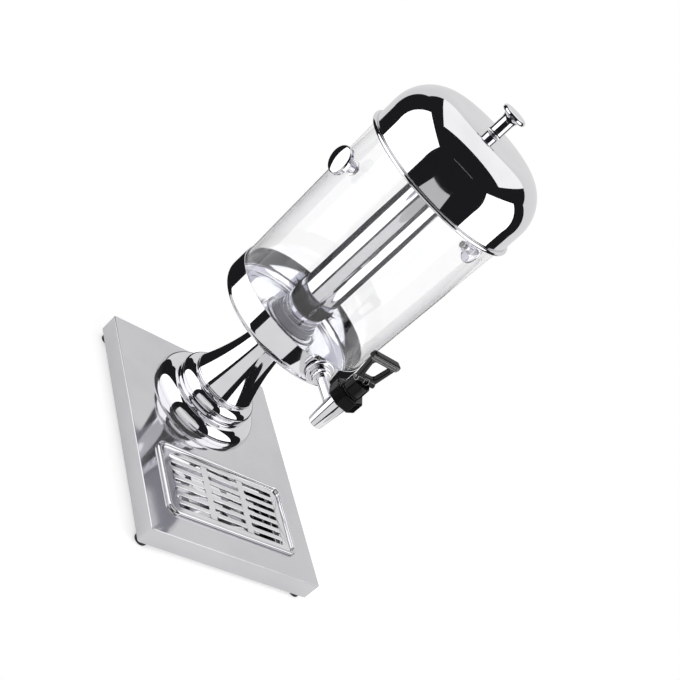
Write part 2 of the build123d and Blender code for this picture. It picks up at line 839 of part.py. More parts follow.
def build():
    """Every node by name, each a solid or a list of like solids."""
    lower_washer_low = backing_low - washer_thickness
    lower_nut_low = lower_washer_low - lower_nut_height
    upper_nut_low = cup_floor + washer_thickness
    rod_high = upper_nut_low + upper_nut_height + rod_spare
    boss_face, flange_back = tap_seats()[:2]
    nodes = {"base_pan": base_pan(), "foot_screws": foot_screws()}
    for name, (x, y) in foot_places().items():
        nodes[name] = foot(x, y)
    nodes["backing_plate"] = backing_plate()
    nodes["tie_rod"] = on_column(rod_radius, lower_nut_low - rod_spare, rod_high)
    nodes["tie_rod_lower_washer"] = rod_washer(lower_washer_low)
    nodes["tie_rod_lower_nut"] = rod_nut(lower_nut_low, lower_nut_height)
    nodes["tie_rod_upper_washer"] = rod_washer(cup_floor)
    nodes["tie_rod_upper_nut"] = rod_nut(upper_nut_low, upper_nut_height)
    nodes["pedestal_lower_bell"] = bell(lower_bell_radius, lower_bell_section, lower_bell_belt, base_top)
    nodes["pedestal_upper_bell"] = upper_bell()
    nodes["stem_ring"] = stem_ring()
    nodes["stem"] = stem()
    nodes["cup"] = cup()
    nodes["drip_tray"] = drip_tray()
    nodes["drip_grille"] = drip_grille()
    nodes["tank"] = tank()
    nodes["side_knob_left"] = side_knob(-1)
    nodes["side_knob_right"] = side_knob(1)
    nodes["side_knob_seals"] = side_knob_seals()
    nodes["side_knob_screws"] = side_knob_screws()
    nodes["ice_tube"] = ice_tube()
    nodes["ice_tube_foot"] = ice_tube_foot()
    nodes["tap_body"] = tap_body()
    nodes["tap_flange"] = tap_flange()
    nodes["tap_outer_gasket"] = tap_ring(boss_radius, flange_back, boss_face)
    gasket_low = inner_boss()
    nodes["tap_inner_gasket"] = tap_ring(lock_nut_flat_radius, gasket_low, gasket_low + gasket_thickness)
    nodes["tap_lock_nut"] = tap_lock_nut()
    nodes["bonnet_nut"] = bonnet_nut()
    nodes["handle_collar"] = handle_collar()
    nodes["return_spring"] = return_spring()
    nodes["valve_stem"] = valve_stem()
    nodes["valve_plug"] = valve_plug()
    nodes["tap_handle"] = tap_handle()
    nodes["handle_pin"] = handle_pin()
    nodes["lid_dome"] = lid_dome()
    nodes["lid_seat_ring"] = lid_seat_ring()
    nodes["lid_knob"] = lid_knob()
    nodes["lid_knob_washer"] = lid_knob_washer()
    nodes["lid_knob_screw"] = lid_knob_screw()
    return nodes


os.makedirs("parts", exist_ok=True)
for name, piece in build().items():
    if isinstance(piece, list):
        piece = Compound(children=piece)
    export_step(piece, f"parts/{name}.step")
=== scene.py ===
"""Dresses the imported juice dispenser: polished steel, a clear tank, a black tap and a plain white studio."""

import logging
import math
from abc import ABC, abstractmethod
from dataclasses import dataclass, field
from enum import Enum
from functools import cache
from typing import Any, ClassVar, Sequence

import bmesh
import bpy
from bmesh.types import BMesh
from bpy.types import ID, Material, Mesh, Node, NodeSocket, NodeTree, Object, World
from mathutils import Matrix, Vector


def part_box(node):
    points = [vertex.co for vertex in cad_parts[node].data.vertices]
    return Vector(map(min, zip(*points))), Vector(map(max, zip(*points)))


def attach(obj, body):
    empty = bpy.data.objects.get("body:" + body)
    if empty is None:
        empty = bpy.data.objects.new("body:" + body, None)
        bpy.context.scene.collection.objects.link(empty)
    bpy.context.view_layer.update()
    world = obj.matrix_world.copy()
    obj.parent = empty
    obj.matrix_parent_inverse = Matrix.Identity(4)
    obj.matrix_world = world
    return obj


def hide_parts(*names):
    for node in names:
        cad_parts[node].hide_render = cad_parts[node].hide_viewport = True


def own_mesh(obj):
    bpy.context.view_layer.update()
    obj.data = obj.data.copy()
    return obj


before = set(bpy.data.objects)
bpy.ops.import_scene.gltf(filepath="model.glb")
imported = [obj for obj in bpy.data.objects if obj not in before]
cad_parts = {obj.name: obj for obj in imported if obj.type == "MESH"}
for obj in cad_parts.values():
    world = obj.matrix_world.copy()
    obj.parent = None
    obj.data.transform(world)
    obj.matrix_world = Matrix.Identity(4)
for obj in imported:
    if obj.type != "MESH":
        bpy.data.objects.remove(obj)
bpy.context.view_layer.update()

LOG = logging.getLogger("juice_dispenser")
MM = 0.001
ON_AXIS = 1e-7
MERGE = 1e-6
FINE = 256
MEDIUM = 128
ARC_STEPS = 24
LONG_ARC_STEPS = 2 * ARC_STEPS
SHARP = math.radians(32)
FLAT = math.radians(1)
UPWARD = Vector((0.0, 0.0, 1.0))

# How the corners of an outline are rounded, and how far out the support points of a rounding lie.
EASE_FROM = 25.0
EASE_STEPS = 4
EASE_SHARE = 0.4
SUPPORT_REACH = 1.5
SUPPORT_SHARE = 0.45

# Faces of one clear wall, and the clear faces that a ray may cross before it counts as deep inside.
WALL_FACES = 2
DEEP = 3

Point = tuple[float, float]
Colour = tuple[float, float, float, float]


class Body(str, Enum):
    """The moving bodies whose pieces the scene makes."""

    BASE = "base"
    TRAY = "tray"
    GRILLE = "grille"
    TANK = "tank"
    HANDLE = "handle"
    LID = "lid"


class Slot(str, Enum):
    """The material slots of the record."""

    POLISHED_STEEL = "polished_steel"
    SATIN_STEEL = "satin_steel"
    FIXING_STEEL = "fixing_steel"
    FOOT_RUBBER = "foot_rubber"
    BLACK_PLASTIC = "black_plastic"
    SEAL_SILICONE = "seal_silicone"
    CLEAR_PLASTIC = "clear_plastic"


class Turn(Enum):
    """The way that a turned piece's axis points: an axis and the degrees that turn +Z to it."""

    UP = ("X", 0.0)
    BACK = ("X", -90.0)
    RIGHT = ("Y", 90.0)
    LEFT = ("Y", -90.0)

    @property
    def matrix(self) -> Matrix:
        """The rotation from +Z to this way."""
        axis, degrees = self.value
        return Matrix.Rotation(math.radians(degrees), 4, axis)


class Cut(str, Enum):
    """How one mesh is combined with another."""

    ADD = "UNION"
    TAKE = "DIFFERENCE"


def low(node: str) -> Vector:
    """The lowest corner of a CAD node."""
    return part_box(node)[0]


def high(node: str) -> Vector:
    """The highest corner of a CAD node."""
    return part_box(node)[1]


def middle(node: str) -> Vector:
    """The middle of a CAD node's box."""
    return (low(node) + high(node)) / 2


def half_width(node: str) -> float:
    """Half of a CAD node's size along X."""
    return (high(node).x - low(node).x) / 2


def span(node: str) -> tuple[float, float, float]:
    """The radius, foot and top of a CAD node that is turned about an upright axis."""
    return half_width(node), low(node).z, high(node).z


def on_shank(depth: float) -> Vector:
    """The place on the axis of the tap's shank at a depth along Y."""
    return Vector((0.0, depth, middle("tap_flange").z))


def outward(azimuth: float, elevation: float = 0.0) -> Vector:
    """The way out at an azimuth from the front, positive to the right, and an elevation, in degrees."""
    turn, rise = math.radians(azimuth), math.radians(elevation)
    return Vector((math.sin(turn) * math.cos(rise), -math.cos(turn) * math.cos(rise), math.sin(rise)))


COLUMN = Vector((0.0, middle("stem").y, 0.0))
TAP = Vector((0.0, middle("handle_collar").y, 0.0))


@dataclass
class Profile:
    """A closed turned outline in (radius, height), drawn point by point."""

    points: list[Point] = field(default_factory=list)

    def to(self, radius: float, height: float) -> "Profile":
        """Adds a straight run, unless the point is where the outline already is.

        Args:
            radius: Distance from the axis.
            height: Place along the axis.

        Returns:
            The profile itself, so that calls can be chained.
        """
        if not self.points or math.dist(self.points[-1], (radius, height)) > MERGE:
            self.points.append((radius, height))
        return self

    def arc(self, centre: Point, radius: float, start: float, end: float, steps: int = ARC_STEPS,
            tall: float | None = None) -> "Profile":
        """Adds an arc.

        Args:
            centre: Middle of the arc.
            radius: Radius of the arc.
            start: First angle, in degrees from the outward radius.
            end: Last angle.
            steps: Straight steps in the arc.
            tall: Radius along the axis, where the arc is part of an oval.

        Returns:
            The profile itself.
        """
        tall = radius if tall is None else tall
        for step in range(steps + 1):
            angle = math.radians(start + (end - start) * step / steps)
            self.to(centre[0] + radius * math.cos(angle), centre[1] + tall * math.sin(angle))
        return self

    def eased(self, ease: float) -> list[Point]:
        """Rounds the sharp corners off the axis, with a support point on each side of a rounded corner.

        Args:
            ease: Radius of the rounding.

        Returns:
            The points of the eased outline.
        """
        result: list[Point] = []
        for index, corner in enumerate(self.points):
            here = Vector(corner)
            sides = [Vector(self.points[at % len(self.points)]) - here for at in (index - 1, index + 1)]
            turn = math.degrees(sides[0].angle(-sides[1])) if all(side.length for side in sides) else 0.0
            if corner[0] < ON_AXIS or turn < EASE_FROM:
                result.append(corner)
                continue
            wanted = ease * math.tan(math.radians(turn) / 2)
            cut = min(wanted, *(side.length * EASE_SHARE for side in sides))
            start, end = (here + side.normalized() * cut for side in sides)
            reaches = [min(cut * SUPPORT_REACH, side.length * SUPPORT_SHARE) for side in sides]
            before, after = (here + side.normalized() * reach for side, reach in zip(sides, reaches))
            shares = [step / EASE_STEPS for step in range(EASE_STEPS + 1)]
            curve = [start.lerp(here, share).lerp(here.lerp(end, share), share) for share in shares]
            result += [tuple(point) for point in (before, *curve, after)]
        return result


def join_rings(bm: BMesh, here: list[Any], after: list[Any]) -> None:
    """Adds the faces between two rings of points, either of which may be one point on the axis.

    Args:
        bm: Mesh that holds the points.
        here: First ring.
        after: Second ring.
    """
    count = max(len(here), len(after))
    if count == 1:
        return
    for step in range(count):
        following = (step + 1) % count
        if len(here) == 1:
            bm.faces.new((here[0], after[following], after[step]))
        elif len(after) == 1:
            bm.faces.new((here[step], here[following], after[0]))
        else:
            bm.faces.new((here[step], here[following], after[following], after[step]))


def smoothed(mesh: Mesh) -> Mesh:
    """Shades a mesh smooth, with its real edges kept sharp."""
    mesh.polygons.foreach_set("use_smooth", [True] * len(mesh.polygons))
    mesh.set_sharp_from_angle(angle=SHARP)
    return mesh


def to_mesh(bm: BMesh, name: str) -> Mesh:
    """Turns a work mesh into a smooth mesh whose real edges stay sharp.

    Args:
        bm: Work mesh, which is freed.
        name: Name of the new mesh.

    Returns:
        The new mesh.
    """
    mesh = bpy.data.meshes.new(name)
    bm.to_mesh(mesh)
    bm.free()
    return smoothed(mesh)


def turned(name: str, points: Sequence[Point], where: Vector, turn: Turn = Turn.UP,
           segments: int = FINE) -> Mesh:
    """Turns a closed outline about an axis.

    Args:
        name: Name of the mesh.
        points: Outline in (radius, height).
        where: Place of height 0.
        turn: Way that the axis points.
        segments: Steps around the axis.

    Returns:
        The closed mesh, with its faces outwards.
    """
    bm = bmesh.new()
    angles = [2 * math.pi * step / segments for step in range(segments)]
    rings = []
    for radius, height in points:
        if radius < ON_AXIS:
            rings.append([bm.verts.new((0.0, 0.0, height))])
        else:
            rings.append([bm.verts.new((radius * math.cos(a), radius * math.sin(a), height)) for a in angles])
    for here, after in zip(rings, rings[1:] + rings[:1]):
        join_rings(bm, here, after)
    bmesh.ops.recalc_face_normals(bm, faces=bm.faces)
    bm.transform(Matrix.Translation(where) @ turn.matrix)
    return to_mesh(bm, name)


def rod(name: str, radius: float, length: float, where: Vector) -> Mesh:
    """A plain rod that runs from a place towards the back."""
    outline = Profile().to(0.0, 0.0).to(radius, 0.0).to(radius, length).to(0.0, length)
    return turned(name, outline.points, where, Turn.BACK, MEDIUM)


def linked(name: str, data: ID) -> Object:
    """A new object in the scene that shows a mesh, lamp or camera."""
    obj = bpy.data.objects.new(name, data)
    bpy.context.scene.collection.objects.link(obj)
    return obj


def hide(obj: Object, *rays: str) -> None:
    """Hides an object from some kinds of ray."""
    for ray in rays:
        setattr(obj, f"visible_{ray}", False)


def baked(obj: Object) -> Mesh:
    """Takes an object's mesh with its modifiers applied, and removes the object.

    Args:
        obj: Object whose modifiers are done.

    Returns:
        The plain mesh.
    """
    graph = bpy.context.evaluated_depsgraph_get()
    done = obj.evaluated_get(graph)
    mesh = bpy.data.meshes.new_from_object(done, preserve_all_data_layers=True, depsgraph=graph)
    bpy.data.objects.remove(obj)
    return mesh


def combined(base: Mesh, others: Sequence[Mesh], cut: Cut) -> Mesh:
    """Adds meshes to a mesh, or takes them away from it.

    Args:
        base: Closed mesh to start with.
        others: Closed meshes to combine it with.
        cut: Whether the others are added or taken away.

    Returns:
        The combined mesh.
    """
    work = linked("work", base)
    helpers = [linked("helper", other) for other in others]
    for helper in helpers:
        modifier = work.modifiers.new("cut", "BOOLEAN")
        modifier.operation = cut.value
        modifier.solver = "EXACT"
        modifier.object = helper
    mesh = baked(work)
    for helper in helpers:
        bpy.data.objects.remove(helper)
    return smoothed(mesh)


def softened(mesh: Mesh, width: float, steps: int) -> Mesh:
    """Rounds a mesh's edges, where there is a width for that, and lets its flat faces shade flat.

    Args:
        mesh: The mesh.
        width: Width of the rounding, or 0 for none.
        steps: Steps across the rounding.

    Returns:
        The softened mesh.
    """
    work = linked("work", mesh)
    if width:
        bevel = work.modifiers.new("edges", "BEVEL")
        bevel.width = width
        bevel.segments = steps
        bevel.limit_method = "ANGLE"
    work.modifiers.new("weighted_normals", "WEIGHTED_NORMAL").keep_sharp = True
    return baked(work)


def refined(node: str, width: float = 0.0, steps: int = 0) -> Mesh:
    """A merged, smooth copy of a CAD node's mesh whose flat faces shade flat.

    Args:
        node: Name of the CAD node.
        width: Width of the rounding of its edges, or 0 for none.
        steps: Steps across the rounding.

    Returns:
        The copied mesh.
    """
    bm = bmesh.new()
    bm.from_mesh(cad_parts[node].data)
    bmesh.ops.remove_doubles(bm, verts=bm.verts, dist=MERGE)
    if width:
        bmesh.ops.dissolve_limit(bm, angle_limit=FLAT, verts=bm.verts, edges=bm.edges)
    return softened(to_mesh(bm, node), width, steps)


class Tree:
    """A node tree, built node by node."""

    def __init__(self, tree: NodeTree) -> None:
        """Takes the tree to build in."""
        self.tree = tree

    @classmethod
    def of(cls, owner: Material | World) -> "Tree":
        """The emptied tree of a material or world."""
        owner.use_nodes = True
        owner.node_tree.nodes.clear()
        return cls(owner.node_tree)

    @classmethod
    def group(cls, name: str) -> "Tree":
        """The tree of a new shader group."""
        return cls(bpy.data.node_groups.new(name, "ShaderNodeTree"))

    def gives(self, **kinds: str) -> None:
        """Adds outputs to the tree, each with the last word of its socket type."""
        for name, kind in kinds.items():
            self.tree.interface.new_socket(name, in_out="OUTPUT", socket_type=f"NodeSocket{kind}")

    def takes(self, **kinds: str) -> dict[str, NodeSocket]:
        """Adds inputs to the tree, after its outputs.

        Args:
            **kinds: Each input's name and the last word of its socket type.

        Returns:
            The sockets that give the inputs' values in the tree.
        """
        for name, kind in kinds.items():
            self.tree.interface.new_socket(name, in_out="INPUT", socket_type=f"NodeSocket{kind}")
        node = self.add("NodeGroupInput")
        return {name: node.outputs[name] for name in kinds}

    def add(self, kind: str, values: dict[str | int, Any] | None = None, **settings: Any) -> Node:
        """Adds a node.

        Args:
            kind: Type of the node.
            values: What each input socket gets: a socket to link from, or a plain value.
            **settings: Attributes of the node.

        Returns:
            The node.
        """
        node = self.tree.nodes.new(kind)
        for name, value in settings.items():
            setattr(node, name, value)
        for key, value in (values or {}).items():
            if isinstance(value, NodeSocket):
                self.tree.links.new(value, node.inputs[key])
            else:
                node.inputs[key].default_value = value
        return node

    def out(self, kind: str, values: dict[str | int, Any] | None = None, **settings: Any) -> NodeSocket:
        """Adds a node and gives its first output."""
        return self.add(kind, values, **settings).outputs[0]

    def math(self, operation: str, first: Any, second: Any) -> NodeSocket:
        """The result of one sum on two values or sockets."""
        return self.out("ShaderNodeMath", {0: first, 1: second}, operation=operation)

    def past(self, depth: NodeSocket, count: int) -> NodeSocket:
        """One where a ray's depth is more than a count."""
        return self.math("GREATER_THAN", depth, count + 0.5)

    def ramp(self, value: NodeSocket, ends: Point) -> NodeSocket:
        """How far a value is from the first of two ends to the other, from 0 to 1."""
        return self.out("ShaderNodeMapRange", {0: value, 1: ends[0], 2: ends[1]})

    def blend(self, share: NodeSocket, first: Any, second: Any) -> NodeSocket:
        """A value between two others, by the share of the second."""
        return self.out("ShaderNodeMix", {0: share, 2: first, 3: second})

    def tint(self, share: NodeSocket, first: Any, second: Any) -> NodeSocket:
        """A colour between two others, by the share of the second."""
        return self.add("ShaderNodeMix", {0: share, 6: first, 7: second}, data_type="RGBA").outputs[2]

    def noise(self, at: NodeSocket, scale: Any, detail: float, **values: float) -> NodeSocket:
        """A cloudy value at a place."""
        return self.out("ShaderNodeTexNoise", {"Vector": at, "Scale": scale, "Detail": detail, **values})

    def bump(self, height: NodeSocket, distance: float, strength: float) -> NodeSocket:
        """The normal of a surface that a height roughens to a depth in metres."""
        return self.out("ShaderNodeBump", {"Height": height, "Distance": distance, "Strength": strength})

    def object_place(self) -> NodeSocket:
        """The place on the object."""
        return self.add("ShaderNodeTexCoord").outputs["Object"]


# Smudges and hairlines: where they set in, the share of the haze that each makes, and their pattern.
SMUDGE_ENDS = (0.42, 0.68)
SMUDGE_DETAIL = 5.0
SMUDGE_HAZE = 0.7
SMUDGE_DULL = 0.94
HAIRLINE_ENDS = (0.6, 0.72)
HAIRLINE_DETAIL = 3.0
HAIRLINE_HAZE = 0.5
HAIRLINE_TURN = (0.4, 0.7, 0.3)
HAIRLINE_STRETCH = (90.0, 4.0, 9.0)
HAIRLINE_SCALE = 9.0
# Brushed lines, the cloud in a moulded skin, and the lean of a rounded normal that marks where a painted edge
# highlight goes.
BRUSH_DETAIL = 3.0
BRUSH_ROUGHNESS = 0.6
GRAIN_DETAIL = 2.0
EDGE_HIGHLIGHT_ENDS = (0.98, 0.92)
EDGE_HIGHLIGHT_SAMPLES = 16


@cache
def surface_marks() -> NodeTree:
    """The shader group for handling marks: soft smudges and fine hairlines.

    Returns:
        The group, with the marked colour and roughness and the height of the hairlines as outputs.
    """
    tree = Tree.group("surface_marks")
    tree.gives(Colour="Color", Roughness="Float", Height="Float")
    given = tree.takes(Colour="Color", Roughness="Float", Spread="Float", Scale="Float")
    place = tree.object_place()
    smudge = tree.ramp(tree.noise(place, given["Scale"], SMUDGE_DETAIL), SMUDGE_ENDS)
    stretch = {"Vector": place, "Rotation": HAIRLINE_TURN, "Scale": HAIRLINE_STRETCH}
    at = tree.out("ShaderNodeMapping", stretch)
    lines = tree.ramp(tree.noise(at, HAIRLINE_SCALE, HAIRLINE_DETAIL), HAIRLINE_ENDS)
    shares = ((smudge, SMUDGE_HAZE), (lines, HAIRLINE_HAZE))
    marks = tree.math("ADD", *(tree.math("MULTIPLY", mark, share) for mark, share in shares))
    haze = tree.math("MULTIPLY", given["Spread"], marks)
    dulled = tree.out("ShaderNodeHueSaturation", {"Value": SMUDGE_DULL, "Color": given["Colour"]})
    tree.add("NodeGroupOutput", {"Colour": tree.tint(smudge, given["Colour"], dulled),
                                 "Roughness": tree.math("ADD", given["Roughness"], haze), "Height": lines})
    return tree.tree


@cache
def brush_lines() -> NodeTree:
    """The shader group for fine brushing along Y.

    Returns:
        The group, with the lines as its output.
    """
    tree = Tree.group("brush_lines")
    tree.gives(Lines="Float")
    given = tree.takes(Across="Float", Along="Float")
    scale = tree.out("ShaderNodeCombineXYZ", {0: given["Across"], 1: given["Along"], 2: given["Across"]})
    at = tree.out("ShaderNodeVectorMath", {0: tree.object_place(), 1: scale}, operation="MULTIPLY")
    tree.add("NodeGroupOutput", {"Lines": tree.noise(at, 1.0, BRUSH_DETAIL, Roughness=BRUSH_ROUGHNESS)})
    return tree.tree


@cache
def moulded_grain() -> NodeTree:
    """The shader group for the fine skin of moulded plastic and rubber.

    Returns:
        The group, with the skin's height as its output.
    """
    tree = Tree.group("moulded_grain")
    tree.gives(Height="Float")
    given = tree.takes(Scale="Float")
    place = tree.object_place()
    cells = tree.out("ShaderNodeTexVoronoi", {"Vector": place, "Scale": given["Scale"]})
    cloud = tree.noise(place, given["Scale"], GRAIN_DETAIL)
    tree.add("NodeGroupOutput", {"Height": tree.math("ADD", cells, cloud)})
    return tree.tree


@cache
def painted_edge_highlights() -> NodeTree:
    """The shader group for painted edge highlights: light painted along the edges, where rounded edges would
    catch the light.

    Returns:
        The group, with a mask that is one along the edges, where the painted highlight goes, as its output.
    """
    tree = Tree.group("painted_edge_highlights")
    tree.gives(Edge="Float")
    given = tree.takes(Width="Float")
    rounded = tree.out("ShaderNodeBevel", {"Radius": given["Width"]}, samples=EDGE_HIGHLIGHT_SAMPLES)
    flat = tree.add("ShaderNodeNewGeometry").outputs["Normal"]
    lean = tree.add("ShaderNodeVectorMath", {0: rounded, 1: flat}, operation="DOT_PRODUCT").outputs["Value"]
    tree.add("NodeGroupOutput", {"Edge": tree.ramp(lean, EDGE_HIGHLIGHT_ENDS)})
    return tree.tree


@dataclass(frozen=True)
class Finish(ABC):
    """A surface finish: the slot that it belongs to and the values that every material has."""

    name: str
    slot: Slot
    colour: Colour
    roughness: float
    spread: float
    mark_scale: float

    @cache
    def material(self) -> Material:
        """Builds the finish's material, the first time that it is asked for.

        Returns:
            The material.
        """
        material = bpy.data.materials.new(self.name)
        tree = Tree.of(material)
        values = {"Colour": self.colour, "Roughness": self.roughness, "Spread": self.spread,
                  "Scale": self.mark_scale}
        marks = tree.add("ShaderNodeGroup", values, node_tree=surface_marks())
        looks = {"Roughness": marks.outputs["Roughness"], **self.looks(tree, marks)}
        shader = tree.out("ShaderNodeBsdfPrincipled", looks)
        tree.add("ShaderNodeOutputMaterial", {"Surface": self.surface(tree, shader)})
        return material

    @abstractmethod
    def looks(self, tree: Tree, marks: Node) -> dict[str, Any]:
        """What the inputs of the Principled shader get.

        Args:
            tree: The material's tree.
            marks: The handling marks in it.

        Returns:
            A socket or a plain value for each input.
        """

    def surface(self, tree: Tree, shader: NodeSocket) -> NodeSocket:
        """The shader for the material's surface: the Principled one as it is."""
        return shader


@dataclass(frozen=True)
class PolishedSteel(Finish):
    """Mirror-polished steel with faint wipe marks."""

    hairline_depth: float = 0.000002
    hairline_strength: float = 0.15

    def looks(self, tree: Tree, marks: Node) -> dict[str, Any]:
        """A mirror whose haze follows the marks."""
        normal = tree.bump(marks.outputs["Height"], self.hairline_depth, self.hairline_strength)
        return {"Metallic": 1.0, "Base Color": marks.outputs["Colour"], "Normal": normal}


@dataclass(frozen=True)
class BrushedSteel(Finish):
    """Satin steel with fine brushing along Y."""

    across: float = 900.0
    along: float = 12.0
    depth: float = 0.000004
    strength: float = 0.2
    streak: float = 0.08
    metal: float = 1.0

    def looks(self, tree: Tree, marks: Node) -> dict[str, Any]:
        """A soft mirror with brushed streaks.

        Args:
            tree: The material's tree.
            marks: The handling marks in it.

        Returns:
            A socket or a plain value for each input.
        """
        brush = {"Across": self.across, "Along": self.along}
        lines = tree.out("ShaderNodeGroup", brush, node_tree=brush_lines())
        rough = tree.math("ADD", marks.outputs["Roughness"], tree.math("MULTIPLY", lines, self.streak))
        return {"Metallic": self.metal, "Base Color": marks.outputs["Colour"], "Roughness": rough,
                "Normal": tree.bump(lines, self.depth, self.strength)}


@dataclass(frozen=True)
class MouldedSkin(Finish):
    """Plastic or rubber with a fine moulded skin and, where it has an edge width, painted highlights along its
    edges.
    """

    grain_scale: float = 1500.0
    grain_depth: float = 0.00002
    grain_strength: float = 0.1
    gloss: float = 0.5
    # Width of the painted edge highlights, and the grey that is painted there.
    edge: float = 0.0
    edge_highlight_colour: Colour = (0.6, 0.6, 0.61, 1.0)

    def looks(self, tree: Tree, marks: Node) -> dict[str, Any]:
        """The skin's grain and painted edge highlights, with the marks' haze.

        Args:
            tree: The material's tree.
            marks: The handling marks in it.

        Returns:
            A socket or a plain value for each input.
        """
        colour = marks.outputs["Colour"]
        # Painted highlight: the base colour turns grey along the edges, as if the rounded edges caught the
        # light.
        if self.edge:
            edges = tree.out("ShaderNodeGroup", {"Width": self.edge}, node_tree=painted_edge_highlights())
            colour = tree.tint(edges, colour, self.edge_highlight_colour)
        grain = tree.out("ShaderNodeGroup", {"Scale": self.grain_scale}, node_tree=moulded_grain())
        normal = tree.bump(grain, self.grain_depth, self.grain_strength)
        return {"Specular IOR Level": self.gloss, "Base Color": colour, "Normal": normal}


@dataclass(frozen=True)
class ClearPlastic(Finish):
    """Clear moulded plastic that lets the lamps through."""

    ior: float = 1.49

    def looks(self, tree: Tree, marks: Node) -> dict[str, Any]:
        """A clear body with the marks' haze."""
        return {"Transmission Weight": 1.0, "IOR": self.ior, "Base Color": self.colour}

    def surface(self, tree: Tree, shader: NodeSocket) -> NodeSocket:
        """The Principled shader, with no dark shadow behind it and a straight way on for deep rays.

        Args:
            tree: The material's tree.
            shader: The Principled shader.

        Returns:
            The shader for the material's surface.
        """
        through = tree.out("ShaderNodeBsdfTransparent", {"Color": self.colour})
        path = tree.add("ShaderNodeLightPath").outputs
        passed = tree.math("MAXIMUM", path["Is Shadow Ray"], tree.past(path["Transmission Depth"], DEEP))
        return tree.out("ShaderNodeMixShader", {0: passed, 1: shader, 2: through})


POLISHED = PolishedSteel("mirror_polish", Slot.POLISHED_STEEL, (0.815, 0.813, 0.838, 1.0), 0.03, 0.03, 22.0)
SATIN = BrushedSteel("satin_polish", Slot.SATIN_STEEL, (0.72, 0.718, 0.74, 1.0), 0.05, 0.03, 14.0,
                     streak=0.03, metal=0.9)
TRAY_STEEL = PolishedSteel("tray_polish", Slot.POLISHED_STEEL, (0.69, 0.688, 0.71, 1.0), 0.04, 0.03, 30.0)
GRILLE_STEEL = BrushedSteel("grille_polish", Slot.SATIN_STEEL, (0.84, 0.838, 0.855, 1.0), 0.08, 0.04, 30.0,
                            streak=0.04)
FIXING = BrushedSteel("plain_fixing", Slot.FIXING_STEEL, (0.5, 0.5, 0.51, 1.0), 0.28, 0.1, 120.0,
                      across=1500.0, along=300.0)
RUBBER = MouldedSkin("soft_rubber", Slot.FOOT_RUBBER, (0.018, 0.018, 0.019, 1.0), 0.55, 0.15, 90.0,
                     grain_scale=1200.0, grain_depth=0.00004)
TUBE_CAP = MouldedSkin("tube_cap", Slot.FOOT_RUBBER, (0.27, 0.275, 0.31, 1.0), 0.3, 0.1, 90.0,
                       grain_scale=1200.0)
# Black plastic with painted highlights along its edges.
BLACK = MouldedSkin("gloss_black", Slot.BLACK_PLASTIC, (0.005, 0.005, 0.0053, 1.0), 0.1, 0.06, 110.0,
                    gloss=0.15, edge=0.0015)
SILICONE = ClearPlastic("clear_silicone", Slot.SEAL_SILICONE, (0.97, 0.97, 0.965, 1.0), 0.1, 0.05, 100.0,
                        ior=1.15)
CLEAR = ClearPlastic("clear_moulding", Slot.CLEAR_PLASTIC, (0.995, 0.997, 0.998, 1.0), 0.0, 0.015, 9.0)


class Rule(Tree):
    """A Geometry Nodes tree that makes one mesh from named sizes and a place."""

    def __init__(self, name: str, **kinds: str) -> None:
        """Starts a tree with one mesh output.

        Args:
            name: Name of the tree.
            **kinds: Each size's name and the last word of its socket type.
        """
        super().__init__(bpy.data.node_groups.new(name, "GeometryNodeTree"))
        self.gives(Mesh="Geometry")
        self.given = self.takes(**kinds, place="Vector", material="Material")

    def close(self, geometry: NodeSocket) -> None:
        """Ends the tree: real mesh, in its place, with its material."""
        placed = self.out("GeometryNodeTransform", {"Geometry": geometry, "Translation": self.given["place"]})
        real = self.out("GeometryNodeRealizeInstances", {0: placed})
        dressed = self.out("GeometryNodeSetMaterial", {"Geometry": real, "Material": self.given["material"]})
        self.add("NodeGroupOutput", {"Mesh": dressed})

    def made(self, name: str, finish: Finish, **values: Any) -> Mesh:
        """Runs the tree.

        Args:
            name: Name of the mesh.
            finish: Finish of the mesh.
            **values: The place, and what each size gets.

        Returns:
            The plain mesh.
        """
        obj = linked(name, bpy.data.meshes.new(name))
        modifier = obj.modifiers.new(name, "NODES")
        modifier.node_group = self.tree
        values["material"] = finish.material()
        for item in self.tree.interface.items_tree:
            if item.in_out == "INPUT":
                modifier[item.identifier] = values[item.name]
        return smoothed(baked(obj))


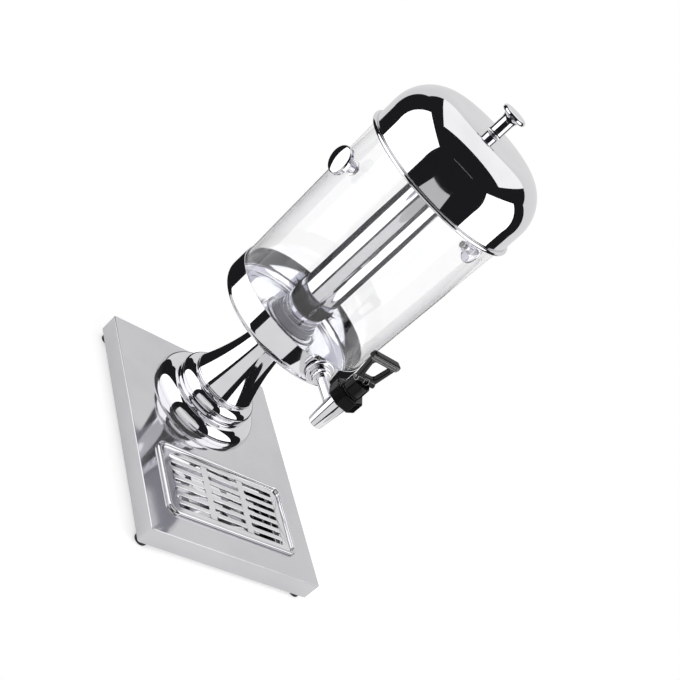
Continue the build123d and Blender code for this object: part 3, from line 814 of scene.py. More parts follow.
class SlottedPlate(Rule):
    """A flat plate with rounded corners and rows of slots that end in just under half a round."""

    CORNER_STEPS: ClassVar[int] = 14
    SLOT_END: ClassVar[float] = 0.499

    def __init__(self) -> None:
        """Builds the tree: outlines, filled and thickened."""
        super().__init__("slotted_plate", width="Float", depth="Float", corner="Float", thickness="Float",
                         slot_length="Float", slot_width="Float", columns="Int", rows="Int",
                         column_span="Float", row_span="Float")
        given = self.given
        edge = self.rounded(given["width"], given["depth"], given["corner"])
        slot_end = self.math("MULTIPLY", given["slot_width"], self.SLOT_END)
        slot = self.rounded(given["slot_length"], given["slot_width"], slot_end)
        grid = self.out("GeometryNodeMeshGrid", {"Size X": given["column_span"], "Size Y": given["row_span"],
                                                 "Vertices X": given["columns"], "Vertices Y": given["rows"]})
        slots = self.out("GeometryNodeInstanceOnPoints", {"Points": grid, "Instance": slot})
        slots = self.out("GeometryNodeRealizeInstances", {0: slots})
        filled = self.out("GeometryNodeFillCurve", {0: self.joined(slots, edge)})
        raised = self.out("GeometryNodeExtrudeMesh", {"Mesh": filled, "Offset Scale": given["thickness"],
                                                      "Individual": False})
        whole = self.joined(raised, self.out("GeometryNodeFlipFaces", {0: filled}))
        self.close(self.out("GeometryNodeMergeByDistance", {"Geometry": whole, "Distance": MERGE}))

    def joined(self, first: NodeSocket, second: NodeSocket) -> NodeSocket:
        """Two geometries as one."""
        node = self.add("GeometryNodeJoinGeometry", {0: first})
        self.tree.links.new(second, node.inputs[0])
        return node.outputs[0]

    def rounded(self, width: NodeSocket, depth: NodeSocket, corner: NodeSocket) -> NodeSocket:
        """The curve of a rectangle with rounded corners."""
        sides = self.out("GeometryNodeCurvePrimitiveQuadrilateral", {"Width": width, "Height": depth})
        values = {"Curve": sides, "Radius": corner, "Count": self.CORNER_STEPS}
        return self.out("GeometryNodeFilletCurve", values, mode="POLY")


class Coil(Rule):
    """A wound wire about an upright axis."""

    TURN_STEPS: ClassVar[int] = 48
    WIRE_STEPS: ClassVar[int] = 16

    def __init__(self) -> None:
        """Builds the tree: a spiral with a round section."""
        super().__init__("coil", radius="Float", wire="Float", turns="Float", height="Float")
        given = self.given
        winding = {"Resolution": self.TURN_STEPS, "Rotations": given["turns"], "Height": given["height"],
                   "Start Radius": given["radius"], "End Radius": given["radius"]}
        path = self.out("GeometryNodeCurveSpiral", winding)
        circle = {"Resolution": self.WIRE_STEPS, "Radius": given["wire"]}
        section = self.out("GeometryNodeCurvePrimitiveCircle", circle)
        wire = {"Curve": path, "Profile Curve": section, "Fill Caps": True}
        self.close(self.out("GeometryNodeCurveToMesh", wire))


class FourCorners(Rule):
    """One piece repeated at the four corners of a rectangle."""

    def __init__(self) -> None:
        """Builds the tree: the piece on the points of a two by two grid."""
        super().__init__("four_corners", piece="Object", width="Float", depth="Float")
        given = self.given
        grid = self.out("GeometryNodeMeshGrid", {"Size X": given["width"], "Size Y": given["depth"],
                                                 "Vertices X": 2, "Vertices Y": 2})
        piece = self.add("GeometryNodeObjectInfo", {"Object": given["piece"]}).outputs["Geometry"]
        self.close(self.out("GeometryNodeInstanceOnPoints", {"Points": grid, "Instance": piece}))


class Assembly(ABC):
    """A sub-assembly: it builds its pieces and gives them to their bodies."""

    body: ClassVar[Body]

    @abstractmethod
    def build(self) -> None:
        """Makes and dresses every piece of the sub-assembly."""

    def fit(self, name: str, mesh: Mesh, finish: Finish, nodes: Sequence[str],
            body: Body | None = None) -> Object:
        """Puts a piece in the scene in place of CAD nodes.

        Args:
            name: Name of the piece.
            mesh: Its mesh, in place.
            finish: Its finish.
            nodes: CAD nodes that it stands for.
            body: Body that it moves with, where that isn't the sub-assembly's own.

        Returns:
            The piece.
        """
        piece = linked(name, mesh)
        mesh.materials.clear()
        mesh.materials.append(finish.material())
        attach(piece, (body or self.body).value)
        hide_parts(*nodes)
        LOG.info("%s: %d faces, %s", name, len(mesh.polygons), finish.name)
        return piece

    def keep(self, finish: Finish, *nodes: str) -> None:
        """Gives CAD nodes whose shape stays a finish.

        Args:
            finish: The finish.
            *nodes: The CAD nodes.
        """
        for node in nodes:
            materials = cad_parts[node].data.materials
            materials.clear()
            materials.append(finish.material())
            LOG.info("%s: CAD shape, %s", node, finish.name)

    def turn_piece(self, name: str, points: Sequence[Point], finish: Finish, where: Vector = COLUMN,
                   turn: Turn = Turn.UP, segments: int = FINE) -> None:
        """Turns a piece that stands for the CAD node of its name, from an outline, and fits it.

        Args:
            name: Name of the CAD node.
            points: Outline in (radius, height).
            finish: Its finish.
            where: Place of height 0.
            turn: Way that the axis points.
            segments: Steps around the axis.
        """
        self.fit(f"{name}_skin", turned(name, points, where, turn, segments), finish, [name])


@dataclass
class Base(Assembly):
    """The folded base pan on its rubber feet, with the fixings underneath."""

    body: ClassVar[Body] = Body.BASE
    foot_taper: float = 1.0 * MM
    foot_ease: float = 1.2 * MM
    screw_recess: float = 1.5 * MM
    screw_head_radius: float = 4.0 * MM
    screw_head: float = 2.0 * MM
    screw_radius: float = 2.0 * MM
    screw_ease: float = 0.5 * MM
    feet: tuple[str, ...] = ("foot_front_left", "foot_front_right", "foot_back_left", "foot_back_right")

    def build(self) -> None:
        """Makes the pan, the feet and their screws, and dresses the fixings."""
        self.fit("base_pan_skin", refined("base_pan"), SATIN, ["base_pan"])
        self.at_corners("feet", self.foot_points(), RUBBER, self.feet)
        self.at_corners("foot_screw_heads", self.screw_points(), FIXING, ["foot_screws"])
        self.keep(FIXING, "backing_plate", "tie_rod", "tie_rod_lower_washer", "tie_rod_lower_nut",
                  "tie_rod_upper_washer", "tie_rod_upper_nut")

    def foot_points(self) -> list[Point]:
        """Draws a foot with its sunk screw hole.

        Returns:
            The foot's outline.
        """
        radius, _, top = span("foot_front_left")
        sunk = self.screw_recess + self.screw_head
        profile = Profile().to(self.screw_head_radius, 0.0).to(radius - self.foot_taper, 0.0).to(radius, top)
        profile.to(self.screw_radius, top).to(self.screw_radius, sunk).to(self.screw_head_radius, sunk)
        return profile.eased(self.foot_ease)

    def screw_points(self) -> list[Point]:
        """Draws a pan-head foot screw, standing on its head.

        Returns:
            The screw's outline.
        """
        head, end = self.screw_recess + self.screw_head, high("foot_screws").z
        profile = Profile().to(0.0, self.screw_recess).to(self.screw_head_radius, self.screw_recess)
        profile.to(self.screw_head_radius, head).to(self.screw_radius, head)
        return profile.to(self.screw_radius, end).to(0.0, end).eased(self.screw_ease)

    def at_corners(self, name: str, points: Sequence[Point], finish: Finish, nodes: Sequence[str]) -> None:
        """Makes a turned piece that repeats under the four corners of the base.

        Args:
            name: Name of the four together.
            points: Outline of one.
            finish: Their finish.
            nodes: CAD nodes that they stand for.
        """
        piece = linked("work", turned(name, points, Vector(), segments=MEDIUM))
        first, last = middle("foot_front_left"), middle("foot_back_right")
        spread, centre = last - first, (last + first) / 2
        mesh = FourCorners().made(name, finish, piece=piece, width=spread.x, depth=spread.y,
                                  place=(centre.x, centre.y, 0.0))
        bpy.data.objects.remove(piece)
        self.fit(name, mesh, finish, nodes)


@dataclass
class Pedestal(Assembly):
    """The two turned bells, the ring, the waisted stem and the cup that carries the tank."""

    body: ClassVar[Body] = Body.BASE
    sheet: float = 1.2 * MM
    lower_section: float = 18.5 * MM
    lower_belt: float = 1.5 * MM
    upper_section: float = 14.5 * MM
    upper_belt: float = 6.5 * MM
    seat: float = 8.0 * MM
    ease: float = 0.35 * MM
    stem_flare: float = 300.0 * MM
    stem_neck: float = 23.6 * MM
    rod_bore: float = 5.3 * MM
    cup_corner: float = 14.0 * MM
    notch_radius: float = 10.0 * MM
    stem_steps: int = 40

    @property
    def bore(self) -> float:
        """The radius of the hole in the ring and the stem's foot, which is the upper bell's."""
        return half_width("pedestal_upper_bell") - self.upper_section - self.seat

    def build(self) -> None:
        """Makes the column from the bottom up."""
        self.bell("pedestal_lower_bell", self.lower_section, self.lower_belt)
        self.bell("pedestal_upper_bell", self.upper_section, self.upper_belt)
        self.ring()
        self.stem()
        self.cup()

    def bell(self, name: str, section: float, belt: float) -> None:
        """Makes a hollow bell whose side is one arc.

        Args:
            name: Name of the bell.
            section: Radius of the side's arc.
            belt: Height of the arc's middle above the bell's foot.
        """
        centre = (half_width(name) - section, low(name).z + belt)
        inner = section - self.sheet
        bore = centre[0] - self.seat
        tuck, inner_tuck = (-math.degrees(math.asin(belt / radius)) for radius in (section, inner))
        profile = Profile().arc(centre, section, tuck, 90.0, LONG_ARC_STEPS)
        profile.to(bore, centre[1] + section).to(bore, centre[1] + inner)
        profile.arc(centre, inner, 90.0, inner_tuck)
        self.turn_piece(name, profile.eased(self.ease), POLISHED)

    def ring(self) -> None:
        """Makes the half-round ring under the stem."""
        radius, foot, top = span("stem_ring")
        half = (top - foot) / 2
        profile = Profile().to(self.bore, foot).arc((radius - half, foot + half), half, -90.0, 90.0)
        self.turn_piece("stem_ring", profile.to(self.bore, top).eased(self.ease), POLISHED)

    def stem_radius(self, height: float) -> float:
        """The stem's outer radius at a height: one long concave arc."""
        drop = high("stem").z - height
        return self.stem_neck + self.stem_flare - math.sqrt(self.stem_flare**2 - drop**2)

    def stem(self) -> None:
        """Makes the hollow stem."""
        foot, top = low("stem").z, high("stem").z
        heights = [foot + (top - foot) * step / self.stem_steps for step in range(self.stem_steps + 1)]
        profile = Profile().to(self.bore, foot)
        for height in heights:
            profile.to(self.stem_radius(height), height)
        profile.to(self.rod_bore, top).to(self.rod_bore, top - self.sheet)
        for height in reversed(heights[1:-1]):
            profile.to(self.stem_radius(height) - self.sheet, height)
        self.turn_piece("stem", profile.to(self.bore, foot + self.sheet).eased(self.ease), POLISHED)

    def cup(self) -> None:
        """Makes the cup and cuts the tap's notch in its front."""
        radius, foot, rim = span("cup")
        centre = (radius - self.cup_corner, foot + self.cup_corner)
        profile = Profile().to(self.rod_bore, foot).arc(centre, self.cup_corner, -90.0, 0.0)
        profile.to(radius, rim).to(radius - self.sheet, rim)
        profile.arc(centre, self.cup_corner - self.sheet, 0.0, -90.0).to(self.rod_bore, foot + self.sheet)
        shell = turned("cup", profile.eased(self.ease), COLUMN)
        tap = on_shank(low("cup").y - self.cup_corner)
        length, rise = 2 * self.cup_corner, rim - tap.z
        slot = bmesh.new()
        bmesh.ops.create_cube(slot, size=1.0)
        slot.transform(Matrix.Diagonal((2 * self.notch_radius, length, 2 * rise, 1.0)))
        slot.transform(Matrix.Translation(tap + Vector((0.0, length / 2, rise))))
        cuts = [rod("notch", self.notch_radius, length, tap), to_mesh(slot, "slot")]
        self.fit("cup_skin", combined(shell, cuts, Cut.TAKE), POLISHED, ["cup"])


@dataclass
class DripTray(Assembly):
    """The drip tray with its raised bead, and the loose slotted grille."""

    body: ClassVar[Body] = Body.TRAY
    grille_corner: float = 7.5 * MM
    columns: int = 3
    rows: int = 7
    slot_length: float = 49.0 * MM
    slot_width: float = 6.2 * MM
    column_pitch: float = 58.0 * MM
    row_pitch: float = 12.2 * MM
    edge_round: float = 0.35 * MM
    edge_steps: int = 2

    def build(self) -> None:
        """Makes the tray and the grille."""
        self.fit("drip_tray_skin", refined("drip_tray"), TRAY_STEEL, ["drip_tray"])
        self.fit("drip_grille_plate", self.grille(), GRILLE_STEEL, ["drip_grille"], Body.GRILLE)

    def grille(self) -> Mesh:
        """Makes the slotted plate and softens its edges.

        Returns:
            The plate.
        """
        corner, centre = low("drip_grille"), middle("drip_grille")
        size = high("drip_grille") - corner
        plate = SlottedPlate().made(
            "drip_grille_plate", GRILLE_STEEL, width=size.x, depth=size.y, corner=self.grille_corner,
            thickness=size.z, slot_length=self.slot_length, slot_width=self.slot_width, columns=self.columns,
            rows=self.rows, column_span=self.column_pitch * (self.columns - 1),
            row_span=self.row_pitch * (self.rows - 1), place=(centre.x, centre.y, corner.z))
        return softened(plate, self.edge_round, self.edge_steps)


@dataclass
class Tank(Assembly):
    """The clear tank with its side knobs and the ice tube inside."""

    body: ClassVar[Body] = Body.TANK
    wall: float = 3.0 * MM
    taper: float = 0.024
    corner: float = 16.0 * MM
    plateau: float = 38.0 * MM
    plateau_slope: float = 4.0 * MM
    plateau_rise: float = 9.8 * MM
    plateau_floor: float = 4.0 * MM
    rim_round: float = 1.0 * MM
    socket_wall: float = 2.5 * MM
    socket_height: float = 7.0 * MM
    socket_play: float = 0.1 * MM
    socket_grip: float = 0.05 * MM
    boss_radius: float = 9.2 * MM
    boss_stand: float = 1.5 * MM
    shank_hole: float = 7.1 * MM
    tube_sheet: float = 1.0 * MM
    tube_lip: float = 0.45 * MM
    foot_ease: float = 0.8 * MM
    foot_floor: float = 2.0 * MM
    knob_neck: float = 6.5 * MM
    knob_neck_length: float = 14.0 * MM
    knob_neck_flare: float = 0.4 * MM
    knob_round: float = 3.0 * MM
    knob_dome: float = 58.0 * MM
    knob_bore: float = 2.5 * MM
    knob_depth: float = 9.0 * MM
    knob_ease: float = 1.2 * MM

    def build(self) -> None:
        """Makes the tank, the polished ice tube with its dark foot, and the side knobs."""
        self.fit("tank_skin", self.vessel(), CLEAR, ["tank"])
        tube = half_width("ice_tube")
        self.beaker("ice_tube", tube - self.tube_sheet, self.tube_sheet, self.tube_lip, POLISHED)
        self.beaker("ice_tube_foot", tube + self.socket_play, self.foot_floor, self.foot_ease, TUBE_CAP)
        self.side_knob("side_knob_left", Turn.LEFT)
        self.side_knob("side_knob_right", Turn.RIGHT)
        self.keep(SILICONE, "side_knob_seals")
        self.keep(FIXING, "side_knob_screws")

    def vessel(self) -> Mesh:
        """Makes the clear vessel: tapered wall, raised middle, tube socket and bored tap boss.

        Returns:
            The vessel.
        """
        rim_radius, foot, rim = span("tank")
        bend = foot + self.corner
        centre = (rim_radius - self.taper * (rim - bend) - self.corner, bend)
        plateau_under = foot + self.plateau_rise
        plateau_top = plateau_under + self.plateau_floor
        edge = self.plateau + self.plateau_slope
        socket = half_width("ice_tube_foot") - self.socket_grip
        collar, collar_top = socket + self.socket_wall, plateau_top + self.socket_height
        seat = plateau_top + self.socket_grip
        profile = Profile().to(0.0, plateau_under).to(self.plateau - self.wall, plateau_under)
        profile.to(edge - self.wall, foot).arc(centre, self.corner, -90.0, 0.0).to(rim_radius, rim)
        profile.to(rim_radius - self.wall, rim).arc(centre, self.corner - self.wall, 0.0, -90.0)
        profile.to(edge, foot + self.wall).to(self.plateau, plateau_top).to(collar, plateau_top)
        profile.to(collar, collar_top).to(socket, collar_top).to(socket, seat).to(0.0, seat)
        shell = turned("tank", profile.eased(self.rim_round), COLUMN)
        length = self.wall + 2 * self.boss_stand
        front = low("tap_inner_gasket").y - length
        boss = rod("boss", self.boss_radius, length, on_shank(front))
        hole = rod("hole", self.shank_hole, length + 2 * self.wall, on_shank(front - self.wall))
        return combined(combined(shell, [boss], Cut.ADD), [hole], Cut.TAKE)

    def beaker(self, name: str, bore: float, floor: float, ease: float, finish: Finish) -> None:
        """Makes a plain round vessel.

        Args:
            name: Name of the CAD node.
            bore: Radius of its inside.
            floor: Thickness of its floor.
            ease: Rounding of its edges.
            finish: Its finish.
        """
        radius, foot, top = span(name)
        profile = Profile().to(0.0, foot).to(radius, foot).to(radius, top).to(bore, top)
        profile.to(bore, foot + floor).to(0.0, foot + floor)
        self.turn_piece(name, profile.eased(ease), finish)

    def side_knob(self, name: str, turn: Turn) -> None:
        """Makes a mushroom knob.

        Args:
            name: Name of the knob.
            turn: Way that it points.
        """
        box_low, box_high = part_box(name)
        head = (box_high.z - box_low.z) / 2
        length = box_high.x - box_low.x
        root = box_low.x if turn is Turn.RIGHT else box_high.x
        where = Vector((root, middle(name).y, middle(name).z))
        rim, crown = head - self.knob_round, self.knob_dome - self.knob_round
        dome_at = length - self.knob_dome
        lean = 90.0 - math.degrees(math.asin(rim / crown))
        neck_end = self.knob_neck_length
        profile = Profile().to(self.knob_bore, 0.0).to(self.knob_neck + self.knob_neck_flare, 0.0)
        profile.to(self.knob_neck, neck_end).to(head, neck_end + self.knob_round / 2)
        profile.arc((rim, dome_at + math.sqrt(crown**2 - rim**2)), self.knob_round, 0.0, lean)
        profile.arc((0.0, dome_at), self.knob_dome, lean, 90.0)
        profile.to(0.0, self.knob_depth).to(self.knob_bore, self.knob_depth)
        self.turn_piece(name, profile.eased(self.knob_ease), POLISHED, where, turn, MEDIUM)


@dataclass
class Tap(Assembly):
    """The tap: chrome body and flange, black bonnet, collar and pull handle."""

    body: ClassVar[Body] = Body.TANK
    shank_radius: float = 7.0 * MM
    shank_bore: float = 4.5 * MM
    shoulder_radius: float = 12.0 * MM
    shoulder_length: float = 9.0 * MM
    shoulder_round: float = 2.2 * MM
    chamber_bore: float = 9.0 * MM
    chamber_radius: float = 12.5 * MM
    outlet_bore: float = 6.0 * MM
    spout_tip: float = 9.0 * MM
    seat_drop: float = 4.0 * MM
    body_ease: float = 0.7 * MM
    flange_bore: float = 7.1 * MM
    flange_round: float = 2.0 * MM
    collar_chamfer: float = 1.0 * MM
    collar_bore: float = 3.05 * MM
    plastic_ease: float = 0.5 * MM
    nut_bevel: float = 0.45 * MM
    nut_steps: int = 3
    spring_radius: float = 5.4 * MM
    spring_wire: float = 0.6 * MM
    spring_turns: float = 6.0
    spring_play: float = 0.06 * MM
    valve_travel: float = 1.65 * MM

    def build(self) -> None:
        """Makes the tap from the tank's wall outwards."""
        self.fit("tap_body_skin", self.spout(), POLISHED, ["tap_body"])
        self.flange()
        self.collar()
        nut = refined("bonnet_nut", self.nut_bevel, self.nut_steps)
        self.fit("bonnet_nut_skin", nut, BLACK, ["bonnet_nut"])
        self.fit("tap_handle_skin", refined("tap_handle"), BLACK, ["tap_handle"], Body.HANDLE)
        self.spring()
        self.keep(SILICONE, "tap_outer_gasket", "tap_inner_gasket", "valve_plug")
        self.keep(BLACK, "tap_lock_nut", "valve_stem")
        self.keep(FIXING, "handle_pin")

    def spout(self) -> Mesh:
        """Makes the chamber and spout, joined to the shank and its shoulder.

        Returns:
            The tap's body.
        """
        tip, top = low("tap_body").z, high("tap_body").z
        seat = middle("tap_flange").z - self.seat_drop
        upright = Profile().to(self.outlet_bore, tip).to(self.spout_tip, tip)
        upright.to(self.chamber_radius, low("bonnet_nut").z).to(self.chamber_radius, top)
        upright.to(self.chamber_bore, top).to(self.chamber_bore, seat).to(self.outlet_bore, seat)
        body = turned("spout", upright.eased(self.body_ease), TAP)
        start = (self.chamber_bore + self.chamber_radius) / 2
        end = high("tap_body").y - TAP.y
        back = low("tap_flange").y - TAP.y
        front = back - self.shoulder_length
        turn = self.shoulder_round
        rim = self.shoulder_radius - turn
        shank = Profile().to(self.shank_bore, start).to(self.shank_radius, start).to(self.shank_radius, front)
        shank.arc((rim, front + turn), turn, -90.0, 0.0).arc((rim, back - turn), turn, 0.0, 90.0)
        shank.to(self.shank_radius, back).to(self.shank_radius, end).to(self.shank_bore, end)
        arm = turned("shank", shank.eased(self.body_ease), on_shank(TAP.y), Turn.BACK, MEDIUM)
        return combined(body, [arm], Cut.ADD)

    def flange(self) -> None:
        """Makes the round plate over the cup's notch."""
        radius, front, turn = half_width("tap_flange"), low("tap_flange").y, self.flange_round
        thickness = high("tap_flange").y - front
        profile = Profile().to(self.flange_bore, 0.0).arc((radius - turn, turn), turn, -90.0, 0.0)
        profile.to(radius, thickness).to(self.flange_bore, thickness)
        self.turn_piece("tap_flange", profile.eased(self.plastic_ease), POLISHED, on_shank(front), Turn.BACK)

    def collar(self) -> None:
        """Makes the round collar under the handle."""
        radius, foot, top = span("handle_collar")
        chamfer = self.collar_chamfer
        profile = Profile().to(self.collar_bore, foot).to(radius, foot).to(radius, top - chamfer)
        profile.to(radius - chamfer, top).to(self.collar_bore, top)
        self.turn_piece("handle_collar", profile.eased(self.plastic_ease), BLACK, TAP, segments=MEDIUM)

    def spring(self) -> None:
        """Winds the return spring."""
        foot, roof = low("return_spring").z, high("return_spring").z
        inset = self.spring_wire + self.spring_play
        mesh = Coil().made("return_spring_coil", FIXING, radius=self.spring_radius, wire=self.spring_wire,
                           turns=self.spring_turns, height=roof - foot - 2 * inset,
                           place=(TAP.x, TAP.y, foot + inset))
        piece = self.fit("return_spring_coil", mesh, FIXING, ["return_spring"])
        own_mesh(piece)


@dataclass
class Lid(Assembly):
    """The domed lid with its rolled rim, the seat ring inside and the knob on top."""

    body: ClassVar[Body] = Body.LID
    sheet: float = 1.0 * MM
    corner: float = 53.0 * MM
    crown: float = 900.0 * MM
    bead: float = 2.4 * MM
    bead_end: float = -150.0
    hole: float = 2.6 * MM
    seat_width: float = 6.0 * MM
    ease: float = 0.3 * MM
    crown_steps: int = 24
    knob_foot_radius: float = 15.0 * MM
    knob_foot: float = 4.0 * MM
    knob_neck: float = 8.6 * MM
    knob_neck_length: float = 15.0 * MM
    knob_flare: float = 8.0 * MM
    knob_bore: float = 2.5 * MM
    knob_depth: float = 14.0 * MM
    knob_ease: float = 0.8 * MM

    def build(self) -> None:
        """Makes the dome, the seat ring and the knob."""
        self.dome()
        self.seat_ring()
        self.knob()
        self.keep(FIXING, "lid_knob_washer", "lid_knob_screw")

    def crown_height(self, depth: float, radius: float) -> float:
        """The height of the crown at a radius, at a depth below its outer skin."""
        return high("lid_dome").z - self.crown + math.sqrt((self.crown - depth) ** 2 - radius**2)

    def dome(self) -> None:
        """Makes the dome: rolled rim, wall, rounded shoulder and shallow crown."""
        bead_at = (half_width("lid_dome") - self.bead, low("lid_dome").z + self.bead)
        outer = bead_at[0] - self.bead + self.sheet / 2
        run, reach = outer - self.corner, self.crown - self.corner
        shoulder = (run, self.crown_height(self.corner, run))
        tilt = 90.0 - math.degrees(math.asin(run / reach))
        meets = math.degrees(math.acos((outer - bead_at[0]) / self.bead))
        profile = Profile().to(outer - self.sheet, bead_at[1])
        profile.arc(shoulder, self.corner - self.sheet, 0.0, tilt, LONG_ARC_STEPS)
        self.crown_run(profile, self.sheet, profile.points[-1][0], self.hole)
        self.crown_run(profile, 0.0, self.hole, run + self.corner * math.cos(math.radians(tilt)))
        profile.arc(shoulder, self.corner, tilt, 0.0, LONG_ARC_STEPS)
        profile.arc(bead_at, self.bead, meets, self.bead_end, LONG_ARC_STEPS)
        self.turn_piece("lid_dome", profile.eased(self.ease), POLISHED)

    def crown_run(self, profile: Profile, depth: float, start: float, end: float) -> None:
        """Adds a run along the crown to a profile.

        Args:
            profile: Profile to add to.
            depth: Depth below the outer skin.
            start: First radius.
            end: Last radius.
        """
        for step in range(self.crown_steps + 1):
            radius = start + (end - start) * step / self.crown_steps
            profile.to(radius, self.crown_height(depth, radius))

    def seat_ring(self) -> None:
        """Makes the ring that rests on the tank's rim."""
        outer, foot, top = span("lid_seat_ring")
        bore = outer - self.seat_width
        profile = Profile().to(bore, foot).to(outer, foot).to(outer, top).to(bore, top)
        self.turn_piece("lid_seat_ring", profile.eased(self.ease), POLISHED)

    def knob(self) -> None:
        """Makes the mushroom knob: flared foot, plain neck and a rounded flat head."""
        top, head_high = high("lid_dome").z, high("lid_knob").z
        rim = self.crown_height(0.0, self.knob_foot_radius)
        neck_low = top + self.knob_foot
        neck_high = neck_low + self.knob_neck_length
        head_low = neck_high + self.knob_flare
        half = (head_high - head_low) / 2
        head_edge = half_width("lid_knob") - half
        profile = Profile()
        self.crown_run(profile, 0.0, self.knob_bore, self.knob_foot_radius)
        profile.arc((self.knob_foot_radius, neck_low), self.knob_foot_radius - self.knob_neck, -90.0, -180.0,
                    tall=neck_low - rim)
        profile.to(self.knob_neck, neck_high)
        profile.arc((head_edge, neck_high), head_edge - self.knob_neck, 180.0, 90.0, tall=self.knob_flare)
        profile.arc((head_edge, head_low + half), half, -90.0, 90.0).to(0.0, head_high)
        profile.to(0.0, top + self.knob_depth).to(self.knob_bore, top + self.knob_depth)
        self.turn_piece("lid_knob", profile.eased(self.knob_ease), POLISHED, segments=MEDIUM)


class Hang(Enum):
    """How a studio panel hangs."""

    UPRIGHT = "upright"
    OVERHEAD = "overhead"


@dataclass(frozen=True)
class Panel:
    """A flat glowing panel of the studio that only reflections and clear pieces show.

    An upright panel stands square to its azimuth, at a distance from the column, and spans from left to
    right and from low to high. An overhead panel hangs at that height and spans from low to high along its
    azimuth.
    """

    name: str
    hang: Hang
    azimuth: float
    distance: float
    left: float
    right: float
    low: float
    high: float
    glow: float
    cut: float = 0.0

    def corners(self) -> list[Vector]:
        """Finds the panel's corners, with the two high ones cut off where it has a cut.

        Returns:
            The corners in order.
        """
        out, along = outward(self.azimuth), outward(self.azimuth + 90.0)
        base, rise = (out, UPWARD) if self.hang is Hang.UPRIGHT else (UPWARD, out)
        shoulder = self.high - self.cut
        spans = [(self.left, self.low), (self.right, self.low), (self.right, shoulder)]
        if self.cut:
            spans += [(self.right - self.cut, self.high), (self.left + self.cut, self.high)]
        spans.append((self.left, shoulder))
        return [COLUMN + base * self.distance + along * side + rise * height for side, height in spans]


@dataclass(frozen=True)
class Lamp:
    """A soft area lamp, aimed at the dispenser."""

    name: str
    azimuth: float
    elevation: float
    distance: float
    size: float
    power: float

    def matrix(self, target: Vector) -> Matrix:
        """The lamp's place, with its light towards the target."""
        way = outward(self.azimuth, self.elevation)
        aimed = (-way).to_track_quat("-Z", "Y").to_matrix().to_4x4()
        return Matrix.Translation(target + way * self.distance) @ aimed


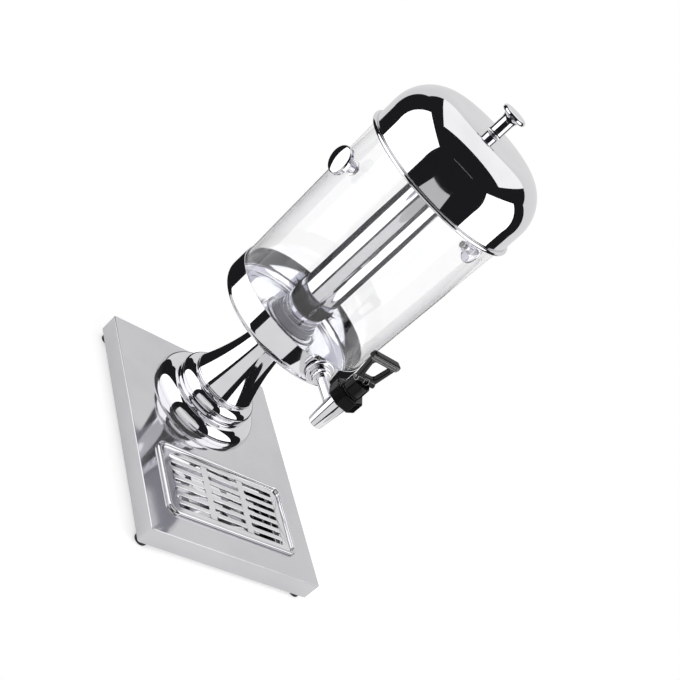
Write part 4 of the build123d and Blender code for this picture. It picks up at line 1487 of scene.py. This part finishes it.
@dataclass
class Studio:
    """The plain white studio: floor, lamps, reflected panels, world light and the camera.

    The world's strength is ambient on surfaces, through behind clear pieces, dark in mirrors, again below the
    horizon in a mirror that another mirror shows, and inside in mirrors deep in the tank. Cast is the tint of
    the world in mirrors.
    """

    target: Vector = field(default_factory=lambda: Vector((0.0, 0.05, 0.3)))
    floor_margin: float = 0.09
    floor_colour: Colour = (0.8, 0.8, 0.8, 1.0)
    floor_glow: float = 0.5
    floor_mirror: float = 0.2
    ambient: float = 0.6
    through: float = 1.0
    dark: float = 0.014
    inside: float = 0.75
    again: float = 0.3
    white: Colour = (1.0, 1.0, 1.0, 1.0)
    cast: Colour = (0.93, 0.92, 1.04, 1.0)
    lamps: tuple[Lamp, ...] = (
        Lamp("lamp_left", -110.0, 35.0, 1.6, 1.2, 3.5),
        Lamp("lamp_right", 43.0, 35.0, 1.6, 1.2, 10.0),
    )
    panels: tuple[Panel, ...] = (
        Panel("softbox_left", Hang.UPRIGHT, -123.4, 0.363, -0.049, 0.426, -0.4, 0.765, 1.6),
        Panel("softbox_right", Hang.UPRIGHT, 38.3, 0.449, -0.257, 0.164, 0.1, 0.779, 1.6),
        Panel("apron_near", Hang.OVERHEAD, 38.3, -0.002, -0.3, 0.26, 0.28, 0.46, 1.0),
        Panel("apron_far", Hang.OVERHEAD, 38.3, -0.002, -0.62, 0.26, 0.46, 0.7, 0.72),
        Panel("apron_side", Hang.OVERHEAD, 38.3, -0.002, -0.62, -0.3, 0.7, 0.85, 0.72),
        Panel("card", Hang.UPRIGHT, -36.7, 0.52, -0.246, 0.239, -0.4, 0.25, 0.82),
        Panel("card_top", Hang.UPRIGHT, -36.7, 0.52, -0.246, 0.239, 0.25, 0.378, 0.55, 0.12),
        Panel("rail", Hang.UPRIGHT, -36.7, 0.6, -0.164, 0.215, 0.932, 0.938, 0.6),
        Panel("ceiling", Hang.OVERHEAD, -39.8, 1.878, -0.98, 1.085, -2.6, 0.181, 1.08),
        Panel("backdrop", Hang.UPRIGHT, 136.0, 1.9, -2.1, 2.1, -0.22, 1.86, 0.78),
    )
    lens: float = 62.37
    sensor: float = 36.0
    azimuth: float = -43.2
    elevation: float = 22.138
    roll: float = 48.332
    aim_right: float = 0.17738
    aim_up: float = 0.15390
    distance: float = 1.4674

    def build(self) -> None:
        """Makes everything that isn't the dispenser."""
        self.floor()
        for lamp in self.lamps:
            self.lamp(lamp)
        for panel in self.panels:
            self.panel(panel)
        self.world()
        self.camera()
        bpy.context.scene.view_settings.view_transform = "Standard"

    @staticmethod
    def mirrored(tree: Tree) -> NodeSocket:
        """One for rays that come off polished metal, but not for those that only turned inside a clear wall.

        Args:
            tree: The tree that needs the mask.

        Returns:
            The mask's socket.
        """
        path = tree.add("ShaderNodeLightPath").outputs
        sharp = tree.math("SUBTRACT", 1.0, path["Is Diffuse Ray"])
        bounced = tree.math("MULTIPLY", tree.past(path["Glossy Depth"], 0), sharp)
        entered, left = (tree.past(path["Transmission Depth"], faces) for faces in (0, WALL_FACES))
        in_wall = tree.math("SUBTRACT", entered, left)
        return tree.math("MULTIPLY", bounced, tree.math("SUBTRACT", 1.0, in_wall))

    def floor(self) -> None:
        """Makes the pale table top, which glows white to the camera and keeps the shadow."""
        size = high("base_pan") - low("base_pan") + Vector((1.0, 1.0, 0.0)) * 2 * self.floor_margin
        bm = bmesh.new()
        bmesh.ops.create_grid(bm, size=1.0 / 2)
        place = Matrix.Translation((0.0, middle("base_pan").y, 0.0))
        bm.transform(place @ Matrix.Diagonal((size.x, size.y, 1.0, 1.0)))
        material = bpy.data.materials.new("studio_floor")
        tree = Tree.of(material)
        diffuse = tree.out("ShaderNodeBsdfDiffuse", {"Color": self.floor_colour})
        path = tree.add("ShaderNodeLightPath").outputs
        seen = tree.math("MAXIMUM", path["Is Camera Ray"], path["Is Transmission Ray"])
        mirror = tree.math("MULTIPLY", path["Is Glossy Ray"], self.floor_mirror)
        level = tree.math("ADD", tree.math("MULTIPLY", seen, self.floor_glow), mirror)
        glow = tree.out("ShaderNodeEmission", {"Strength": level})
        both = tree.out("ShaderNodeAddShader", {0: diffuse, 1: glow})
        tree.add("ShaderNodeOutputMaterial", {"Surface": both})
        floor = linked("floor", to_mesh(bm, "floor"))
        floor.data.materials.append(material)

    def lamp(self, lamp: Lamp) -> None:
        """Hangs a soft lamp that lights the pieces but doesn't show in them.

        Args:
            lamp: Its place, size and power.
        """
        data = bpy.data.lights.new(lamp.name, "AREA")
        data.size = lamp.size
        data.energy = lamp.power
        obj = linked(lamp.name, data)
        obj.matrix_world = lamp.matrix(self.target)
        hide(obj, "camera", "glossy", "transmission")

    def panel(self, panel: Panel) -> None:
        """Hangs a panel that only reflections and clear pieces show.

        Args:
            panel: Its place, size and glow.
        """
        bm = bmesh.new()
        bm.faces.new([bm.verts.new(corner) for corner in panel.corners()])
        obj = linked(panel.name, to_mesh(bm, panel.name))
        material = bpy.data.materials.new(panel.name)
        tree = Tree.of(material)
        glow = tree.out("ShaderNodeEmission", {"Strength": panel.glow})
        clear = tree.out("ShaderNodeBsdfTransparent")
        mix = tree.out("ShaderNodeMixShader", {0: self.mirrored(tree), 1: clear, 2: glow})
        tree.add("ShaderNodeOutputMaterial", {"Surface": mix})
        obj.data.materials.append(material)
        hide(obj, "camera", "diffuse", "shadow")

    def world(self) -> None:
        """Lights the studio: white to the camera, dark in reflections, soft light on everything."""
        world = bpy.data.worlds.new("studio")
        tree = Tree.of(world)
        path = tree.add("ShaderNodeLightPath").outputs
        plain = tree.blend(path["Is Camera Ray"], self.ambient, 1.0)
        plain = tree.blend(path["Is Transmission Ray"], plain, self.through)
        way = tree.add("ShaderNodeTexCoord").outputs["Generated"]
        upward = tree.math("GREATER_THAN", tree.add("ShaderNodeSeparateXYZ", {0: way}).outputs["Z"], 0.0)
        again = tree.past(path["Glossy Depth"], 1)
        down = tree.math("MULTIPLY", again, tree.math("SUBTRACT", 1.0, upward))
        straight = tree.past(path["Transparent Depth"], 0)
        turned_back = tree.math("MAXIMUM", straight, tree.math("MAXIMUM", again, upward))
        deep = tree.math("MULTIPLY", tree.past(path["Transmission Depth"], DEEP), turned_back)
        room = tree.blend(deep, tree.blend(down, self.dark, self.again), self.inside)
        mirror = self.mirrored(tree)
        light = tree.out("ShaderNodeBackground", {"Color": tree.tint(mirror, self.white, self.cast),
                                                  "Strength": tree.blend(mirror, plain, room)})
        tree.add("ShaderNodeOutputWorld", {"Surface": light})
        bpy.context.scene.world = world

    def camera(self) -> None:
        """Sets the camera at the photograph's angle, which is rolled to one side."""
        roll = math.radians(self.roll)
        back = outward(self.azimuth, self.elevation)
        level = UPWARD.cross(back).normalized()
        upright = back.cross(level)
        right = level * math.cos(roll) + upright * math.sin(roll)
        up = upright * math.cos(roll) - level * math.sin(roll)
        eye = right * self.aim_right + up * self.aim_up + back * self.distance
        eye.y += middle("base_pan").y
        data = bpy.data.cameras.new("photo_camera")
        data.lens = self.lens
        data.sensor_width = self.sensor
        camera = linked("photo_camera", data)
        camera.matrix_world = Matrix.Translation(eye) @ Matrix((right, up, back)).transposed().to_4x4()
        bpy.context.scene.camera = camera


def main() -> None:
    """Builds the dispenser and its studio."""
    logging.basicConfig(level=logging.INFO, format="%(name)s: %(message)s")
    for assembly in (Base(), Pedestal(), DripTray(), Tank(), Tap(), Lid()):
        assembly.build()
    Studio().build()


if __name__ == "__main__":
    main()
